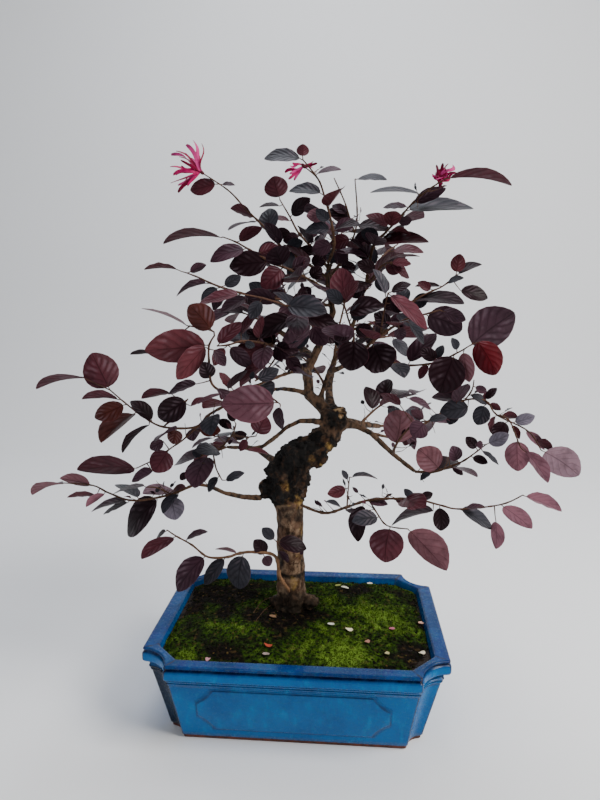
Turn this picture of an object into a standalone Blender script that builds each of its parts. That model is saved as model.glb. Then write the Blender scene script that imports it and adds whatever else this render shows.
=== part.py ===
"""Chinese fringe flower bonsai in a blue glazed pot.

The origin is the middle of the pot's underside, +X is to the right along the pot's length, +Y goes
away from the front of the pot and +Z goes up. Lengths are in millimetres up to the meshes, which are
in metres.

The tree is drawn the way it is seen: a place on the page is given to the right and down, in page
units, with its depth behind (+) or in front of (-) the pot's middle line in millimetres. The view of
the page is fixed by EYE and the three values after it.
"""

import math
import random
from typing import NamedTuple

import bmesh
import bpy
from mathutils import Matrix, Vector
from mathutils.bvhtree import BVHTree

MM = 0.001
UP = Vector((0, 0, 1))

# Pot
POT_LENGTH = 250.0
POT_WIDTH = 177.0
POT_HEIGHT = 76.0
RIM_WIDTH = 13.0
RIM_FACE = 11.0
RIM_STEP = 5.5
RIM_SCOOP = 25.0
FOOT_LENGTH = 209.0
FOOT_WIDTH = 136.0
FOOT_SCOOP = 13.0
WALL = 8.0
FLOOR = 9.0
INNER_CUT = 19.5
FLOOR_CUT = 9.0
SCOOP_STEPS = 3
DRAIN_RADIUS = 8.0
DRAIN_SPACING = 60.0
HOLE_SIDES = 16
PANEL_LENGTH = 154.0
PANEL_LOW = 12.0
PANEL_HIGH = 52.5
PANEL_SCOOP = 14.0
PANEL_RELIEF = 0.9
PANEL_SUNK = 3.0

# Soil and drain screens
GAP = 0.35
SEAT_GAP = 0.55
SOIL_EDGE = 70.0
SOIL_MOUND = 7.0
SOIL_RINGS = (0.93, 0.72, 0.45, 0.24)
SCREEN_SIZE = 30.0
SCREEN_THICK = 1.0
SCREEN_HOLE = 5.0
SCREEN_PITCH = 7.5

# View of the page
EYE = Vector((38.1, -500.9, 357.2))
EYE_DOWN = math.radians(9.64)
EYE_LEFT = math.radians(4.32)
PAGE_FOCUS = 600.0
PAGE_MIDDLE = (300.0, 400.0)

# Wood
TREE_DEPTH = 11.0
STUB_BOTTOM = 44.0
STUB_RADIUS = 15.6
STUB_RISE = 14.0
STUB_TAPER = 0.8
GROUND_CUT = 90.0
BARK_LOBES = (0.05, 0.04)
KNOB_WAVE = 0.07
CORE_SIDES = 6
TRUNK_SIDES = 11
LIMB_SIDES = 5
TWIG_SIDES = 3
TRUNK_STEP = 9.0
LIMB_STEP = 18.0
TWIG_ROOT = 1.35
TWIG_TIP = 0.7

# Leaves
LEAF_SEED = 11
LEAF_FULL = 0.64
LEAF_HALF_THICK = 0.6
STALK_HALF = 0.6
STALK_LEAST = 2.6
STALK_SUNK = 0.5
FOLD = 0.05
ARCH = 0.05
CLEAR = 0.8
LEAF_PROFILE = ((0.40, 1.0), (0.76, 0.72))
FILL_BARE = (0.08, 0.62)
FILL_BACK = (0.22, 1.0)
SMALL_LEAF = 17.0
SMALL_PROFILE = ((0.48, 1.0),)
CORE_RADII = (0.9, 1.5, 1.3, 0.6)
STRAP_PROFILE = ((0.45, 0.95), (0.86, 1.0))
STRAP_FULL = 0.13
CORE_REACHES = (0.0, 1.5, 3.5, 5.0)
PETAL_FIRST = 1.2
PETAL_SPREAD = 3.0

# How a leaf is tilted until it is clear, and how leaves grow by rule
TILT_START = 0.3
TILT_STEP = 0.09
TILT_STEPS = 11
GROW_TRIES = 14
GROW_TURN = 0.9
GROW_ANGLE = (0.75, 1.25)
GROW_RISE = (-0.45, 0.3)
GROW_LENGTH = (21.0, 33.0)
GROW_STALK = (3.0, 4.5)
GROW_LEAN = 0.6
GROW_RATIO = (0.58, 0.8)


class Spray(NamedTuple):
    """A leafy shoot: its stems, its leaves seen on the page, and how many more it has by rule.

    A stem is a list of (right, down, depth). A leaf is (foot right, foot down, tip right, tip down,
    width seen) and then, where given, how much nearer its tip is and its full width over its length.
    A width below zero shows the underside.
    """

    name: str
    stems: tuple
    leaves: tuple
    fill: int = 0
    colour: tuple = (0.10, 0.04, 0.06)


class Bloom(NamedTuple):
    """A head of strap petals at a stem's end: its spray, its stem, its petals as leaves are given."""

    name: str
    spray: str
    stem: int
    petals: tuple


class Blade(NamedTuple):
    """One leaf or petal in space."""

    root: Vector
    foot: Vector
    tip: Vector
    normal: Vector
    width: float


# Woody limbs, as (right, down, depth, radius in page units)
TRUNK = (
    (292, 606, 0, 17.5), (292, 596, 0, 16), (291.5, 584, 0, 15.2), (291, 560, 0, 14.6), (290, 535, 0, 14),
    (289.5, 512, 0, 14.5), (287, 497, 0, 17), (285, 482, 0, 19), (289, 466, 0, 18), (302, 454, 0, 16),
    (318, 445, 0, 14), (331, 431, 0, 12.5), (335, 418, 0, 11), (333, 410, 0, 8),
)
BURL_KNOBS = (
    (268, 487, -3, 10), (275, 470, -6, 11), (282, 492, -12, 11), (293, 455, -4, 14), (306, 446, -2, 11),
    (300, 478, -11, 11), (285, 474, 14, 13), (318, 458, -3, 10), (340, 424, -2, 9),
    (328, 416, -4, 9), (310, 601, -4, 9), (277, 603, 3, 8), (296, 490, 12, 12),
)
LIMBS = (
    ((331, 416, 0, 8), (321, 405, 0, 7), (309.5, 395, 0, 6.2), (308.5, 381, 0, 5.8), (307, 370, 0, 5.4),
     (314, 357, 0, 5), (325, 335, 0, 4.4), (333, 312, 0, 3.8), (328, 285, 0, 3), (328, 263, 0, 2.2)),
    ((322, 405, 1, 4.5), (321.5, 395, 2, 3.1), (325, 383, 3, 2.6), (329, 371, 4, 2.5), (339, 352, 5, 2.6),
     (351, 330, 5, 2.5), (362, 300, 5, 2.3), (369, 266, 5, 1.7)),
    ((312, 395, 0, 4.4), (298, 391, -6, 2.9), (286, 389, -12, 2.5), (268, 389, -25, 2.1)),
    ((330, 424, -2, 5), (313, 421, -12, 3.4), (300, 421, -16, 3.1), (287, 427, -19, 2.8),
     (276, 437, -20, 2.7), (262, 447, -20, 2.6), (249, 448.5, -20, 2.4), (226, 447, -20, 2.1)),
    ((276, 494, -2, 6), (262, 498, -8, 3.8), (243, 497, -11, 3.2), (225, 493, -14, 2.8), (211, 487, -18, 2.3)),
    ((336, 424, 0, 8), (347, 424, 0, 5.2), (357, 426, -1, 3.8), (371, 433, -3, 3.2), (393, 454, -8, 2.9),
     (415, 471.5, -12, 2.5)),
    ((308, 375, 0, 5), (302, 369, -22, 3.8), (293, 359, -44, 2.8)),
    ((329, 372, 3, 3.2), (344, 366, -24, 2.8), (358, 354, -46, 2.4)),
    ((333, 416, 4, 7), (329, 394, 32, 4.4), (332, 370, 60, 3.6), (338, 348, 86, 2.6)),
    ((313, 360, 2, 5), (296, 343, 30, 3.8), (277, 330, 56, 2.7)),
    ((288, 470, 8, 8), (270, 458, 40, 4.2), (256, 449, 66, 2.8)),
    ((337, 420, 6, 7), (360, 424, 36, 4), (380, 426, 60, 2.8)),
)
CUT_STUB = ((332, 414, -2, 7), (345, 410, -3, 5.5))

SPRAYS = (
    Spray("spray_left_far", (
        ((268, 389, -25), (240, 399, -42), (210, 414, -55), (196, 427, -60), (163.5, 427, -62),
         (143, 416.5, -62), (124, 402, -64), (110, 390, -66)),
        ((203, 421, -57), (184, 439, -52), (174, 446, -50), (155, 459, -50), (137, 468, -52)),
        ((163.5, 427, -62), (176, 414, -72), (188, 399, -78)),
    ), (
        (108, 388, 92, 353, -36, -4, 0.92), (84, 378, 36, 387.5, -6), (121, 400, 82, 397.5, -8),
        (127, 403, 94.5, 418, 20), (133, 414, 100, 440, -17), (155, 419.5, 131, 400, 15),
        (187, 398, 158, 418, 26), (170, 393, 141.5, 398, -9), (177, 422, 173, 444, -16),
        (149, 425, 122, 452.5, -7), (163, 441, 150, 449, 12), (191, 406, 207, 398, 6),
        (135.6, 468.6, 78, 467, -20), (152.5, 471.6, 132, 481, 11), (180, 465, 154, 472, -25, 4, 0.9),
        (197, 427, 221, 431, 16),
    ), 5),
    Spray("spray_left_low", (
        ((211, 487, -18), (195, 485, -24), (171, 494.5, -30), (134, 500.6, -36), (109, 493, -42),
         (93, 485.5, -46), (64, 483, -50)),
        ((171, 494.5, -30), (158, 488, -40), (147, 487, -48)),
    ), (
        (94.5, 480.5, 60, 477.6, -12), (64, 484, 32, 493.6, -6), (96, 496, 67, 497, -6),
        (105.5, 494, 86, 507, -8), (125, 501, 91, 512, 7), (127, 503, 103, 514, 6),
        (157, 501, 125, 534.6, 27), (171, 498, 176, 520, 23, 6), (174.5, 482, 143, 493, -12),
        (144, 486, 112, 493, 5), (186, 482, 172, 492, 9),
    ), 2),
    Spray("spray_left_inner", (
        ((226, 447, -20), (213, 452, -24), (201, 456, -28), (189, 472, -32)),
        ((213, 452, -24), (216, 468, -34), (222, 480, -38)),
        ((219.5, 449.5, -22), (232, 435, -34), (236, 424, -44)),
        ((232, 435, -34), (246, 437, -50), (256, 436, -60)),
    ), (
        (247, 450, 269, 453, -5), (230, 437, 247, 434, 10), (231, 429, 218, 420, 10),
        (218, 476, 208, 492, 9), (226, 480, 244, 472, 9), (205, 455, 192, 452, 10), (190, 471, 180, 480, 8),
        (236, 424, 228, 410, 9), (257, 436, 266, 416, 22, 3, 0.85), (248, 438, 240, 451, -9),
    ), 4),
    Spray("spray_sucker", (
        ((292, 594, -8), (280, 577, -22), (275, 556, -28), (252, 552, -36), (237, 554, -42), (228, 557, -46),
         (208, 557, -52), (192, 545, -56), (176, 536, -58), (167, 530, -60)),
    ), (
        (175, 537, 141.5, 559, -15), (166, 530, 155, 542, 4), (184, 540, 207.5, 531, 7),
        (203.5, 558, 176, 591, 24), (226, 558.5, 204.6, 585, 15), (243, 554, 238, 589, 26, 3, 0.8),
        (268, 553, 254, 540, 15), (263, 553, 270, 566, -12), (239, 552, 215, 549, 4),
    )),
    Spray("spray_trunk_shoot", (
        ((291, 566, -4), (288, 558, -24), (281, 548, -31), (276, 541, -34)),
    ), (
        (277, 541, 307, 548, 17), (279, 551, 288, 563, -7), (274, 540, 262, 528, 12),
    )),
    Spray("spray_rust", (
        ((302, 369, -22), (280, 376, -62), (255, 386, -84), (228, 392, -98), (212, 384, -104),
         (209, 362, -108), (209, 345, -110), (214, 332, -110), (190, 326, -106)),
        ((255, 386, -84), (268, 395, -104), (280, 404, -116)),
    ), (
        (213.5, 330, 189, 305, -26, 4, 0.86), (207, 345, 144.6, 349, -34, 10), (205, 347, 176, 379, -22, 12),
        (186, 325, 141, 309, 3), (154, 353, 130, 355, -5), (209, 381, 203, 362, 17, 6, 0.8),
        (225, 393, 247, 369, -8), (196, 384, 168, 394, 10), (277, 404, 221, 404, 38, 10),
        (214, 388, 236, 411, 11), (233, 388, 220, 372, 9), (279, 406, 280, 430, 12), (214, 350, 226, 366, 12),
    ), 4),
    Spray("spray_crown_left", (
        ((293, 359, -44), (280, 350, -60), (271, 345, -70), (245, 341, -82), (228, 345, -90),
         (217, 346, -94)),
        ((280, 350, -60), (270, 366, -84), (255, 381, -94)),
    ), (
        (217, 346, 241, 322, -15), (241, 334, 258, 311, 9), (269, 346, 234, 356, -26, 8),
        (271, 347, 290, 356, 20), (267, 362, 240, 387, -12), (255, 381, 279, 369, 14),
        (226, 347, 214, 366, -12), (262, 344, 247, 330, 14), (283, 356, 300, 371, 14),
        (229, 348, 251, 367, -16), (241, 340, 255, 346, 8), (259, 338, 262, 316, -10), (287, 356, 311, 358, 5),
        (252, 340, 231, 330, 12), (276, 348, 262, 330, 13),
    ), 6),
    Spray("spray_crown_front", (
        ((324, 337, 0), (314, 327, -30), (301, 314, -58), (284, 305, -78), (262, 298, -88),
         (241, 294, -96)),
    ), (
        (241, 293.6, 200, 303, 11), (278, 305, 244.5, 292.5, -15, 6), (284, 307, 327, 311, 22, 8),
        (291.5, 318, 255, 337, 20), (296, 322, 337, 326, 17), (302, 322, 290, 349, 24),
        (262, 299, 250, 319, 14), (290, 309, 307, 291, 12), (303, 313, 322, 299, -9),
        (311, 324, 326, 345, 20), (318, 330, 339, 340, 16),
    ), 5),
    Spray("spray_left_short", (
        ((332, 306, 0), (300, 301, -16), (260, 297, -32), (230, 290, -44), (210.5, 283, -52),
         (200, 278, -54), (187, 273, -56)),
    ), (
        (177, 269.5, 144, 268, -5), (180, 271, 206.5, 265, -9), (209, 282, 175, 294, 7),
        (228, 290, 212, 310, 12), (222, 287, 241, 276, 12), (243, 294, 262, 310, 12),
        (268, 297, 249, 283, 14), (288, 300, 268, 292, 10), (219, 288, 201, 301, 12), (296, 301, 311, 288, 13),
    ), 6),
    Spray("spray_left_long", (
        ((330, 292, 0), (310, 280, -14), (290, 270, -24), (271, 262, -30), (250, 250, -34),
         (236, 242, -38), (223, 237, -40)),
    ), (
        (223, 237, 163, 241, -6), (237, 243, 262, 227, -12), (247, 248, 210, 262, 15),
        (269, 263, 229, 267, 25, 4), (258, 252, 279, 246, -12), (283, 268, 262, 287, 22),
        (290, 270, 310, 259, 14), (278, 265, 262, 251, 12), (308, 280, 322, 268, 13),
    ), 6),
    Spray("spray_bloom_left", (
        ((328, 278, 0), (305, 262, 8), (280.5, 246, 12), (269, 232, 12), (245, 208, 14), (229, 191, 14),
         (204, 174, 14)),
    ), (
        (217, 185, 190, 190, 15), (219, 185, 235, 184.5, 4), (257, 215, 230, 209, -10),
        (270, 235, 290, 232, 11), (284, 249, 303, 241, 12), (276, 242, 258, 255, 12),
        (293, 256, 318, 251, 11), (301, 262, 287, 275, 12), (309, 266, 326, 256, 13),
    ), 5),
    Spray("spray_upright_left", (
        ((328, 268, 0), (312, 248, 20), (298, 232, 24), (290, 217, 24), (280, 200, 24)),
    ), (
        (279, 200, 274, 176, -23, 3, 0.86), (290, 217, 310, 198, 14), (290, 222, 269, 220, 5),
        (279, 206, 259, 207, 4), (300, 236, 283, 241, 12), (304, 240, 318, 224, 12),
    ), 4),
    Spray("spray_bloom_top", (
        ((328, 263, 0), (334, 246, -10), (332, 225, -14), (324, 195, -14), (318, 179, -14), (306, 168, -14)),
        ((318, 179, -14), (310, 168, -26), (303, 160, -32)),
    ), (
        (299.5, 158, 264, 159, 12, 2), (302.5, 156, 303, 144, -12, 1, 0.9), (322, 194, 288.6, 189, 11),
        (316, 173, 341, 168, 5), (328, 213, 306, 216, -13), (332, 229, 305, 231, 12),
        (332, 232, 355, 220, 13), (334, 243, 312, 250, 15), (330, 222, 316, 209, 11), (333, 250, 348, 262, 12),
    ), 5),
    Spray("spray_cut_twig", (
        ((330, 276, 0), (341, 262, 14), (349, 249, 20), (357, 221, 22), (355, 179, 22)),
        ((354, 232, 21), (345, 203, 20), (334, 178, 20)),
    ), (
        (354, 175.6, 387, 178, 6), (357, 226, 389, 230, 12), (352, 238, 331, 245, 14),
        (350, 246, 371, 252, 15), (352, 223, 329, 209, 14), (350, 214, 332, 205, 9), (352, 243, 378, 237, 15),
        (341, 263, 326, 252, 13), (339, 266, 356, 268, 12),
    ), 3),
    Spray("spray_bloom_right", (
        ((369, 274, 5), (373, 247, 4), (387, 231, 0), (401, 216, -4), (416.5, 199, -8), (438, 183, -12)),
        ((416.5, 199, -8), (431, 188, -26), (446, 178.5, -34)),
    ), (
        (450, 178, 512, 186, -7, 2), (407, 211, 474, 206.5, 13), (414, 205, 446, 188, -12),
        (422, 193, 370, 192, 5), (409, 206, 383, 208, 6), (395, 222, 412, 220, 9),
        (376, 246, 429, 239, 12), (390, 228, 366, 214, 10), (381, 237, 361, 232, 13),
        (388, 231, 411, 235, -5), (372, 258, 357, 250, 12),
    ), 5),
    Spray("spray_wine", (
        ((364, 292, 4), (374, 276, -14), (383, 265, -22), (392, 262, -26)),
    ), (
        (380, 264, 402, 270, -12), (388, 260, 411.5, 263, 8), (377, 271, 357, 262, 13),
        (372, 278, 389, 290, 13), (390, 264, 409, 278, 9), (367, 286, 350, 296, 12),
    ), 3),
    Spray("spray_right_high", (
        ((352, 330, 4), (385, 318, 14), (411, 302, 18), (430, 292, 22), (443, 286, 24), (456, 275, 26)),
    ), (
        (456, 274, 460, 254, -14, 0, 0.8), (457, 274.5, 482, 264, 8), (443, 286, 415, 286, -5),
        (413, 296, 464, 301, -12), (461, 291, 488, 298, 14), (430, 293, 412, 307, 13),
        (398, 310, 383, 299, 14), (388, 316, 407, 326, 14), (446, 285, 464, 278, 6), (433, 291, 418, 282, 9),
        (371, 323, 388, 334, 14),
    ), 6),
    Spray("spray_right_round", (
        ((340, 352, 4), (360, 357, -14), (383, 357, -24), (401, 365, -30), (433.5, 363, -38),
         (457, 353, -44), (469, 346, -48)),
    ), (
        (468.6, 345, 514, 312, -39, 3, 0.88), (478, 342, 496, 375, -27, 8, 0.74),
        (464, 352, 470, 382, -16), (455, 355, 440, 393, 36, 4, 0.9), (440, 363, 420, 349, 13),
        (388, 360, 370, 372, 12), (436, 362, 443, 345, 9), (430, 363, 419, 379, 9), (458, 352, 452, 338, 8),
        (366, 357, 385, 345, 14),
    ), 5),
    Spray("spray_right_front", (
        ((358, 354, -46), (380, 336, -66), (405, 320, -74), (426, 314, -79), (440, 310, -82)),
        ((380, 336, -66), (384, 312, -78), (388, 293, -84)),
    ), (
        (425, 316, 462, 330, -29, 4, 0.8), (440, 309, 466, 320, -13), (388.6, 290, 427, 330, 14, 4),
        (407, 321, 424, 344, 9), (372, 343, 384, 372, 35, 4, 0.95), (392, 328, 374, 313, 14),
        (386, 297, 373, 269, 9), (390, 291, 411, 284, 9), (398, 324, 402, 340, -12), (388, 302, 404, 311, 10),
    ), 4),
    Spray("spray_dark_heart", (
        ((342, 367, -22), (347, 351, -52), (354, 338, -60), (348, 318, -62), (343, 300, -62)),
    ), (
        (355, 338, 350, 371, 31, 4, 0.95), (348, 306, 341, 267, 25), (344, 306, 326, 290, 13),
        (349, 320, 371, 304, 15), (351, 326, 335, 340, 14), (345, 303, 358, 280, -11),
        (348, 312, 384, 306, 18), (353, 334, 372, 327, 14),
    ), 4),
    Spray("spray_right_drop", (
        ((393, 455, -8), (395, 447, -26), (402, 436, -34), (414, 424, -38), (426, 421, -40)),
    ), (
        (394, 445, 400, 409, -33, 3, 0.92), (400, 405, 381, 392, -9), (426, 420, 411, 410, -9),
        (434, 422, 412, 436, 20, 4), (428, 421, 447, 417, 8),
    )),
    Spray("spray_right_mid", (
        ((415, 471.5, -12), (433, 472, -20), (450, 466.5, -26), (465, 460, -30), (486, 444.5, -36)),
    ), (
        (440, 469, 418, 449, 27, 3, 0.86), (458, 462, 452, 446, 14, 2, 0.9), (487, 443, 509, 434, 14),
        (470, 457, 488, 463, 9), (478, 450, 466, 437, 11), (450, 467, 463, 475, 7),
        (433, 472, 420, 480, 6), (488, 443, 476, 445, 8, 2, 0.7), (480, 449, 499, 465, 5, 4, 0.4),
    ), 2),
    Spray("spray_right_far", (
        ((371, 433, -3), (393, 437, 10), (415, 429, 14), (443, 412, 16), (465, 400, 16), (486, 401, 14),
         (497, 415, 12), (528, 431, 6), (541, 450, 2)),
        ((465, 400, 16), (472, 390, 10), (474, 380, 6)),
        ((497, 415, 12), (509, 420, -6), (516, 436, -14), (521, 448, -18)),
    ), (
        (464, 399, 431.5, 396, -12), (468, 407, 440, 412, 20), (474, 386, 487, 392, 8),
        (484, 406, 477, 425, 17), (488, 402, 501, 410, -7), (500, 414, 518, 417.5, -8),
        (512.6, 422, 535, 416, 12), (510, 423, 520, 439, -6), (516, 439, 518, 471, -24, 3),
        (526, 452, 548, 483, -14), (541, 433, 553, 450, -9), (545, 452, 579, 475, -30, 2, 0.8),
        (490, 405, 471, 394, 8), (455, 404, 449, 425, 13), (484, 400, 497, 388, 8),
        (506, 423, 494, 438, 16, 3, 0.85), (524, 431, 545, 449, -9, 3, 0.5), (481, 401, 492, 392, 6, -3, 0.6),
        (481, 425, 491, 434, -6, 2, 0.6),
    ), 2),
    Spray("spray_right_low", (
        ((301, 505, -10), (325, 513, -20), (347, 507, -24), (369, 500, -28), (393, 498.6, -32),
         (416, 499, -36), (440, 505, -40), (460, 509, -44), (501, 504.5, -50), (523, 495, -54)),
        ((347, 507, -24), (348, 492, -24), (349.5, 477, -24)),
        ((369, 500, -28), (377, 513, -33), (387, 525.5, -37), (408, 529, -41)),
    ), (
        (349, 488, 327.5, 494, -13), (343, 508, 326, 501, 5), (351, 477, 378, 477, 4),
        (363, 506, 356, 542, 19, 4, 0.6), (378, 519, 352, 521.5, 17, 6, 0.68), (366, 501, 388, 504, 9),
        (390, 527, 385, 562, -36, 4, 0.95),
        (409.5, 529, 447, 570, -30, 4, 0.72), (433, 511, 390, 523, 11), (393, 501, 416, 510, 9),
        (439, 507, 441, 531, 17), (459, 510, 494, 527, 14), (463, 508, 486, 507, 6),
        (496, 522, 496, 549, -14), (501, 505, 532, 529, -17), (523, 494, 562, 511, -12),
        (418, 499, 433, 493, 9), (349, 482, 342, 470, 6), (416, 499, 404, 489, 8),
    ), 2),
    Spray("spray_back_high", (
        ((332, 370, 60), (338, 332, 72), (345, 298, 94), (343, 265, 104)),
    ), (), 9),
    Spray("spray_back_right", (
        ((338, 348, 86), (368, 340, 108), (400, 335, 122), (428, 334, 132)),
    ), (), 7),
    Spray("spray_back_middle", (
        ((329, 394, 32), (314, 368, 66), (290, 350, 96), (258, 340, 116)),
    ), (), 9),
    Spray("spray_back_left", (
        ((277, 330, 56), (255, 318, 76), (232, 308, 92)),
    ), (), 7),
    Spray("spray_back_upright", (
        ((296, 343, 30), (291, 312, 56), (282, 282, 70)),
    ), (), 7),
    Spray("spray_back_low_left", (
        ((256, 449, 66), (234, 441, 86), (206, 434, 102)),
    ), (), 6),
    Spray("spray_back_low_right", (
        ((380, 426, 60), (405, 424, 82), (434, 420, 98)),
    ), (), 7),
    Spray("spray_back_far_right", (
        ((360, 424, 36), (383, 404, 58), (416, 394, 76)),
    ), (), 7),
    Spray("spray_top_back", (
        ((328, 276, 2), (336, 248, 36), (343, 230, 58)),
    ), (), 6),
    Spray("spray_top_right", (
        ((367, 282, 6), (383, 256, 40), (398, 244, 62)),
    ), (), 5),
)

BLOOMS = (
    Bloom("bloom_left", "spray_bloom_left", 0, (
        (202, 170, 193, 140, 5, 2), (200, 169, 186, 145, 2.6, -6), (198, 170, 176, 151, 2.6, 5),
        (197, 172, 171, 155, 2.6, -4), (197, 174, 170, 167, 2.8, 7), (198, 171, 181, 160, 2.6, 14),
        (198, 176, 171, 183, 2.8, -5), (198, 177, 173, 175, 2.4, 9), (199, 179, 178, 192, 3, 4),
        (200, 172, 190, 158, 2.4, -14), (201, 179, 187, 186, 2.4, 12),
    )),
    Bloom("bloom_top", "spray_bloom_top", 0, (
        (306, 161, 317, 163, 2.4, 2), (298, 165, 285, 172, 2.6, -3), (298, 167, 288.6, 179, 2.6, 3),
        (300, 168, 294, 180, 2.6, -2), (304, 165, 313, 168, 2.2, -4), (299, 163, 290, 166, 2.2, 5),
    )),
    Bloom("bloom_right", "spray_bloom_right", 0, (
        (441, 177, 436, 165, 3.4, -3), (444, 175, 443, 163, 3.4, 4), (448, 175, 453, 165, 3.4, -2),
        (439, 180, 432, 174, 3, 3), (450, 178, 457, 173, 3, 2), (442, 184, 439, 190, 3, -2),
        (446, 178, 449, 169, 3.4, 9), (443, 181, 437, 180, 3, 9),
    )),
)


def page_ray(right, down):
    """The direction in which a place on the page is seen from the eye."""
    fall, turn = math.sin(EYE_DOWN), EYE_LEFT
    level = math.cos(EYE_DOWN)
    forward = Vector((-level * math.sin(turn), level * math.cos(turn), -fall))
    rightward = Vector((math.cos(turn), math.sin(turn), 0))
    downward = Vector((fall * math.sin(turn), -fall * math.cos(turn), -level))
    across = (right - PAGE_MIDDLE[0]) / PAGE_FOCUS
    drop = (down - PAGE_MIDDLE[1]) / PAGE_FOCUS
    return forward + rightward * across + downward * drop


def on_page(right, down, depth):
    """The point in space that is seen at a place on the page, at a depth."""
    ray = page_ray(right, down)
    return EYE + ray * ((depth + TREE_DEPTH - EYE.y) / ray.y)


def page_unit(depth):
    """How many millimetres one page unit covers near the page's middle at a depth."""
    return (depth + TREE_DEPTH - EYE.y) / page_ray(*PAGE_MIDDLE).y / PAGE_FOCUS


def nearest_stem(stems, right, down):
    """The (right, down, depth) on the stems that lies nearest to a place on the page."""
    best_gap, best = math.inf, None
    for stem in stems:
        for (x0, y0, d0), (x1, y1, d1) in zip(stem, stem[1:]):
            run = (x1 - x0) ** 2 + (y1 - y0) ** 2 + 1e-6
            share = ((right - x0) * (x1 - x0) + (down - y0) * (y1 - y0)) / run
            share = min(1, max(0, share))
            spot = (x0 + share * (x1 - x0), y0 + share * (y1 - y0), d0 + share * (d1 - d0))
            gap = math.hypot(right - spot[0], down - spot[1])
            if gap < best_gap:
                best_gap, best = gap, spot
    return best


def seen_blade(root_spot, row, nearer):
    """A blade that covers the page as its row says, its tip nearer to the eye by that much."""
    x0, y0, x1, y1, width = row[:5]
    full = row[6] if len(row) > 6 else LEAF_FULL
    depth = root_spot[2]
    root = on_page(*root_spot)
    foot = on_page(x0, y0, depth)
    tip = on_page(x1, y1, depth - nearer)
    if (foot - root).length < STALK_LEAST or (foot - root).dot(tip - foot) < 0:
        foot = root + (tip - root).normalized() * STALK_LEAST
    axis = (tip - foot).normalized()
    to_eye = (EYE - (foot + tip) / 2).normalized()
    across = axis.cross(to_eye).normalized()
    facing = across.cross(axis).normalized()
    if across.z < 0:
        across.negate()
    seen = abs(width) * page_unit(depth)
    true_width = max(seen, full * (tip - foot).length)
    sine = seen / true_width
    toward = facing if width > 0 else -facing
    normal = toward * sine + across * math.sqrt(1 - sine * sine)
    return Blade(root, foot, tip, normal.normalized(), true_width)


def grown_blade(points, place, side, draw):
    """A leaf that grows by rule from a stem through these points, at a share of its length."""
    spans = [(b - a).length for a, b in zip(points, points[1:])]
    reach = place * sum(spans)
    index = 0
    while reach > spans[index] and index < len(spans) - 1:
        reach -= spans[index]
        index += 1
    along = (points[index + 1] - points[index]).normalized()
    root = points[index] + along * reach
    beside = along.cross(UP)
    beside = beside.normalized() if beside.length > 0.2 else Vector((1, 0, 0))
    beside.rotate(Matrix.Rotation(draw.uniform(-GROW_TURN, GROW_TURN), 3, along))
    spread = draw.uniform(*GROW_ANGLE)
    axis = along * math.cos(spread) + beside * side * math.sin(spread) + UP * draw.uniform(*GROW_RISE)
    axis.normalize()
    length = draw.uniform(*GROW_LENGTH)
    foot = root + axis * draw.uniform(*GROW_STALK)
    across = axis.cross(UP).normalized()
    normal = across.cross(axis).normalized() + across * draw.uniform(-GROW_LEAN, GROW_LEAN)
    return Blade(root, foot, foot + axis * length, normal.normalized(), length * draw.uniform(*GROW_RATIO))


def leaf_sections(blade, spare=0.0):
    """Sections of a leaf, with fewer where it is small."""
    is_small = (blade.tip - blade.foot).length < SMALL_LEAF
    return blade_sections(blade, SMALL_PROFILE if is_small else LEAF_PROFILE, spare)


def blade_sections(blade, profile, spare=0.0):
    """Three-sided sections from a point inside the stem to a point at the tip, grown by the spare."""
    run = blade.tip - blade.foot
    axis = run.normalized()
    side = blade.normal.cross(axis).normalized()
    stalk = (blade.foot - blade.root).normalized()
    half = STALK_HALF + spare
    rings = [(blade.foot, half, half, half / 2)]
    for share, fraction in profile:
        middle = blade.foot + run * share + blade.normal * (ARCH * run.length * math.sin(math.pi * share))
        wide = fraction * blade.width / 2
        rings.append((middle, wide + spare, LEAF_HALF_THICK + spare, wide * FOLD + spare + 0.1))
    sections = [
        [
            middle + side * wide + blade.normal * lift,
            middle - side * wide + blade.normal * lift,
            middle - blade.normal * thick,
        ]
        for middle, wide, thick, lift in rings
    ]
    return [[blade.root - stalk * STALK_SUNK], *sections, [blade.tip + axis * spare]]


def loft_lists(sections):
    """Points and faces of one closed skin through sections; the first and the last may be one point."""
    points = [point for section in sections for point in section]
    faces = []
    start = 0
    for near, far in zip(sections, sections[1:]):
        count = max(len(near), len(far))
        end = start + len(near)
        for i in range(count):
            j = (i + 1) % count
            corners = (start + i % len(near), start + j % len(near), end + j % len(far), end + i % len(far))
            faces.append(tuple(dict.fromkeys(corners)))
        start = end
    if len(sections[0]) > 1:
        faces.append(tuple(reversed(range(len(sections[0])))))
    if len(sections[-1]) > 1:
        faces.append(tuple(range(start, start + len(sections[-1]))))
    return points, faces


def loft_tree(sections):
    """A search tree over the triangles of a skin through sections."""
    return BVHTree.FromPolygons(*loft_lists(sections))


def tube_sections(points, radii, sides):
    """Round sections along a line of points."""
    sections = []
    lean = None
    for i, (point, radius) in enumerate(zip(points, radii)):
        ahead = (points[min(i + 1, len(points) - 1)] - points[max(i - 1, 0)]).normalized()
        if lean is None:
            lean = ahead.orthogonal().normalized()
        lean = (lean - ahead * lean.dot(ahead)).normalized()
        other = ahead.cross(lean)
        sections.append([
            point + (lean * math.cos(angle) + other * math.sin(angle)) * radius
            for angle in (2 * math.pi * k / sides for k in range(sides))
        ])
    return sections


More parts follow.
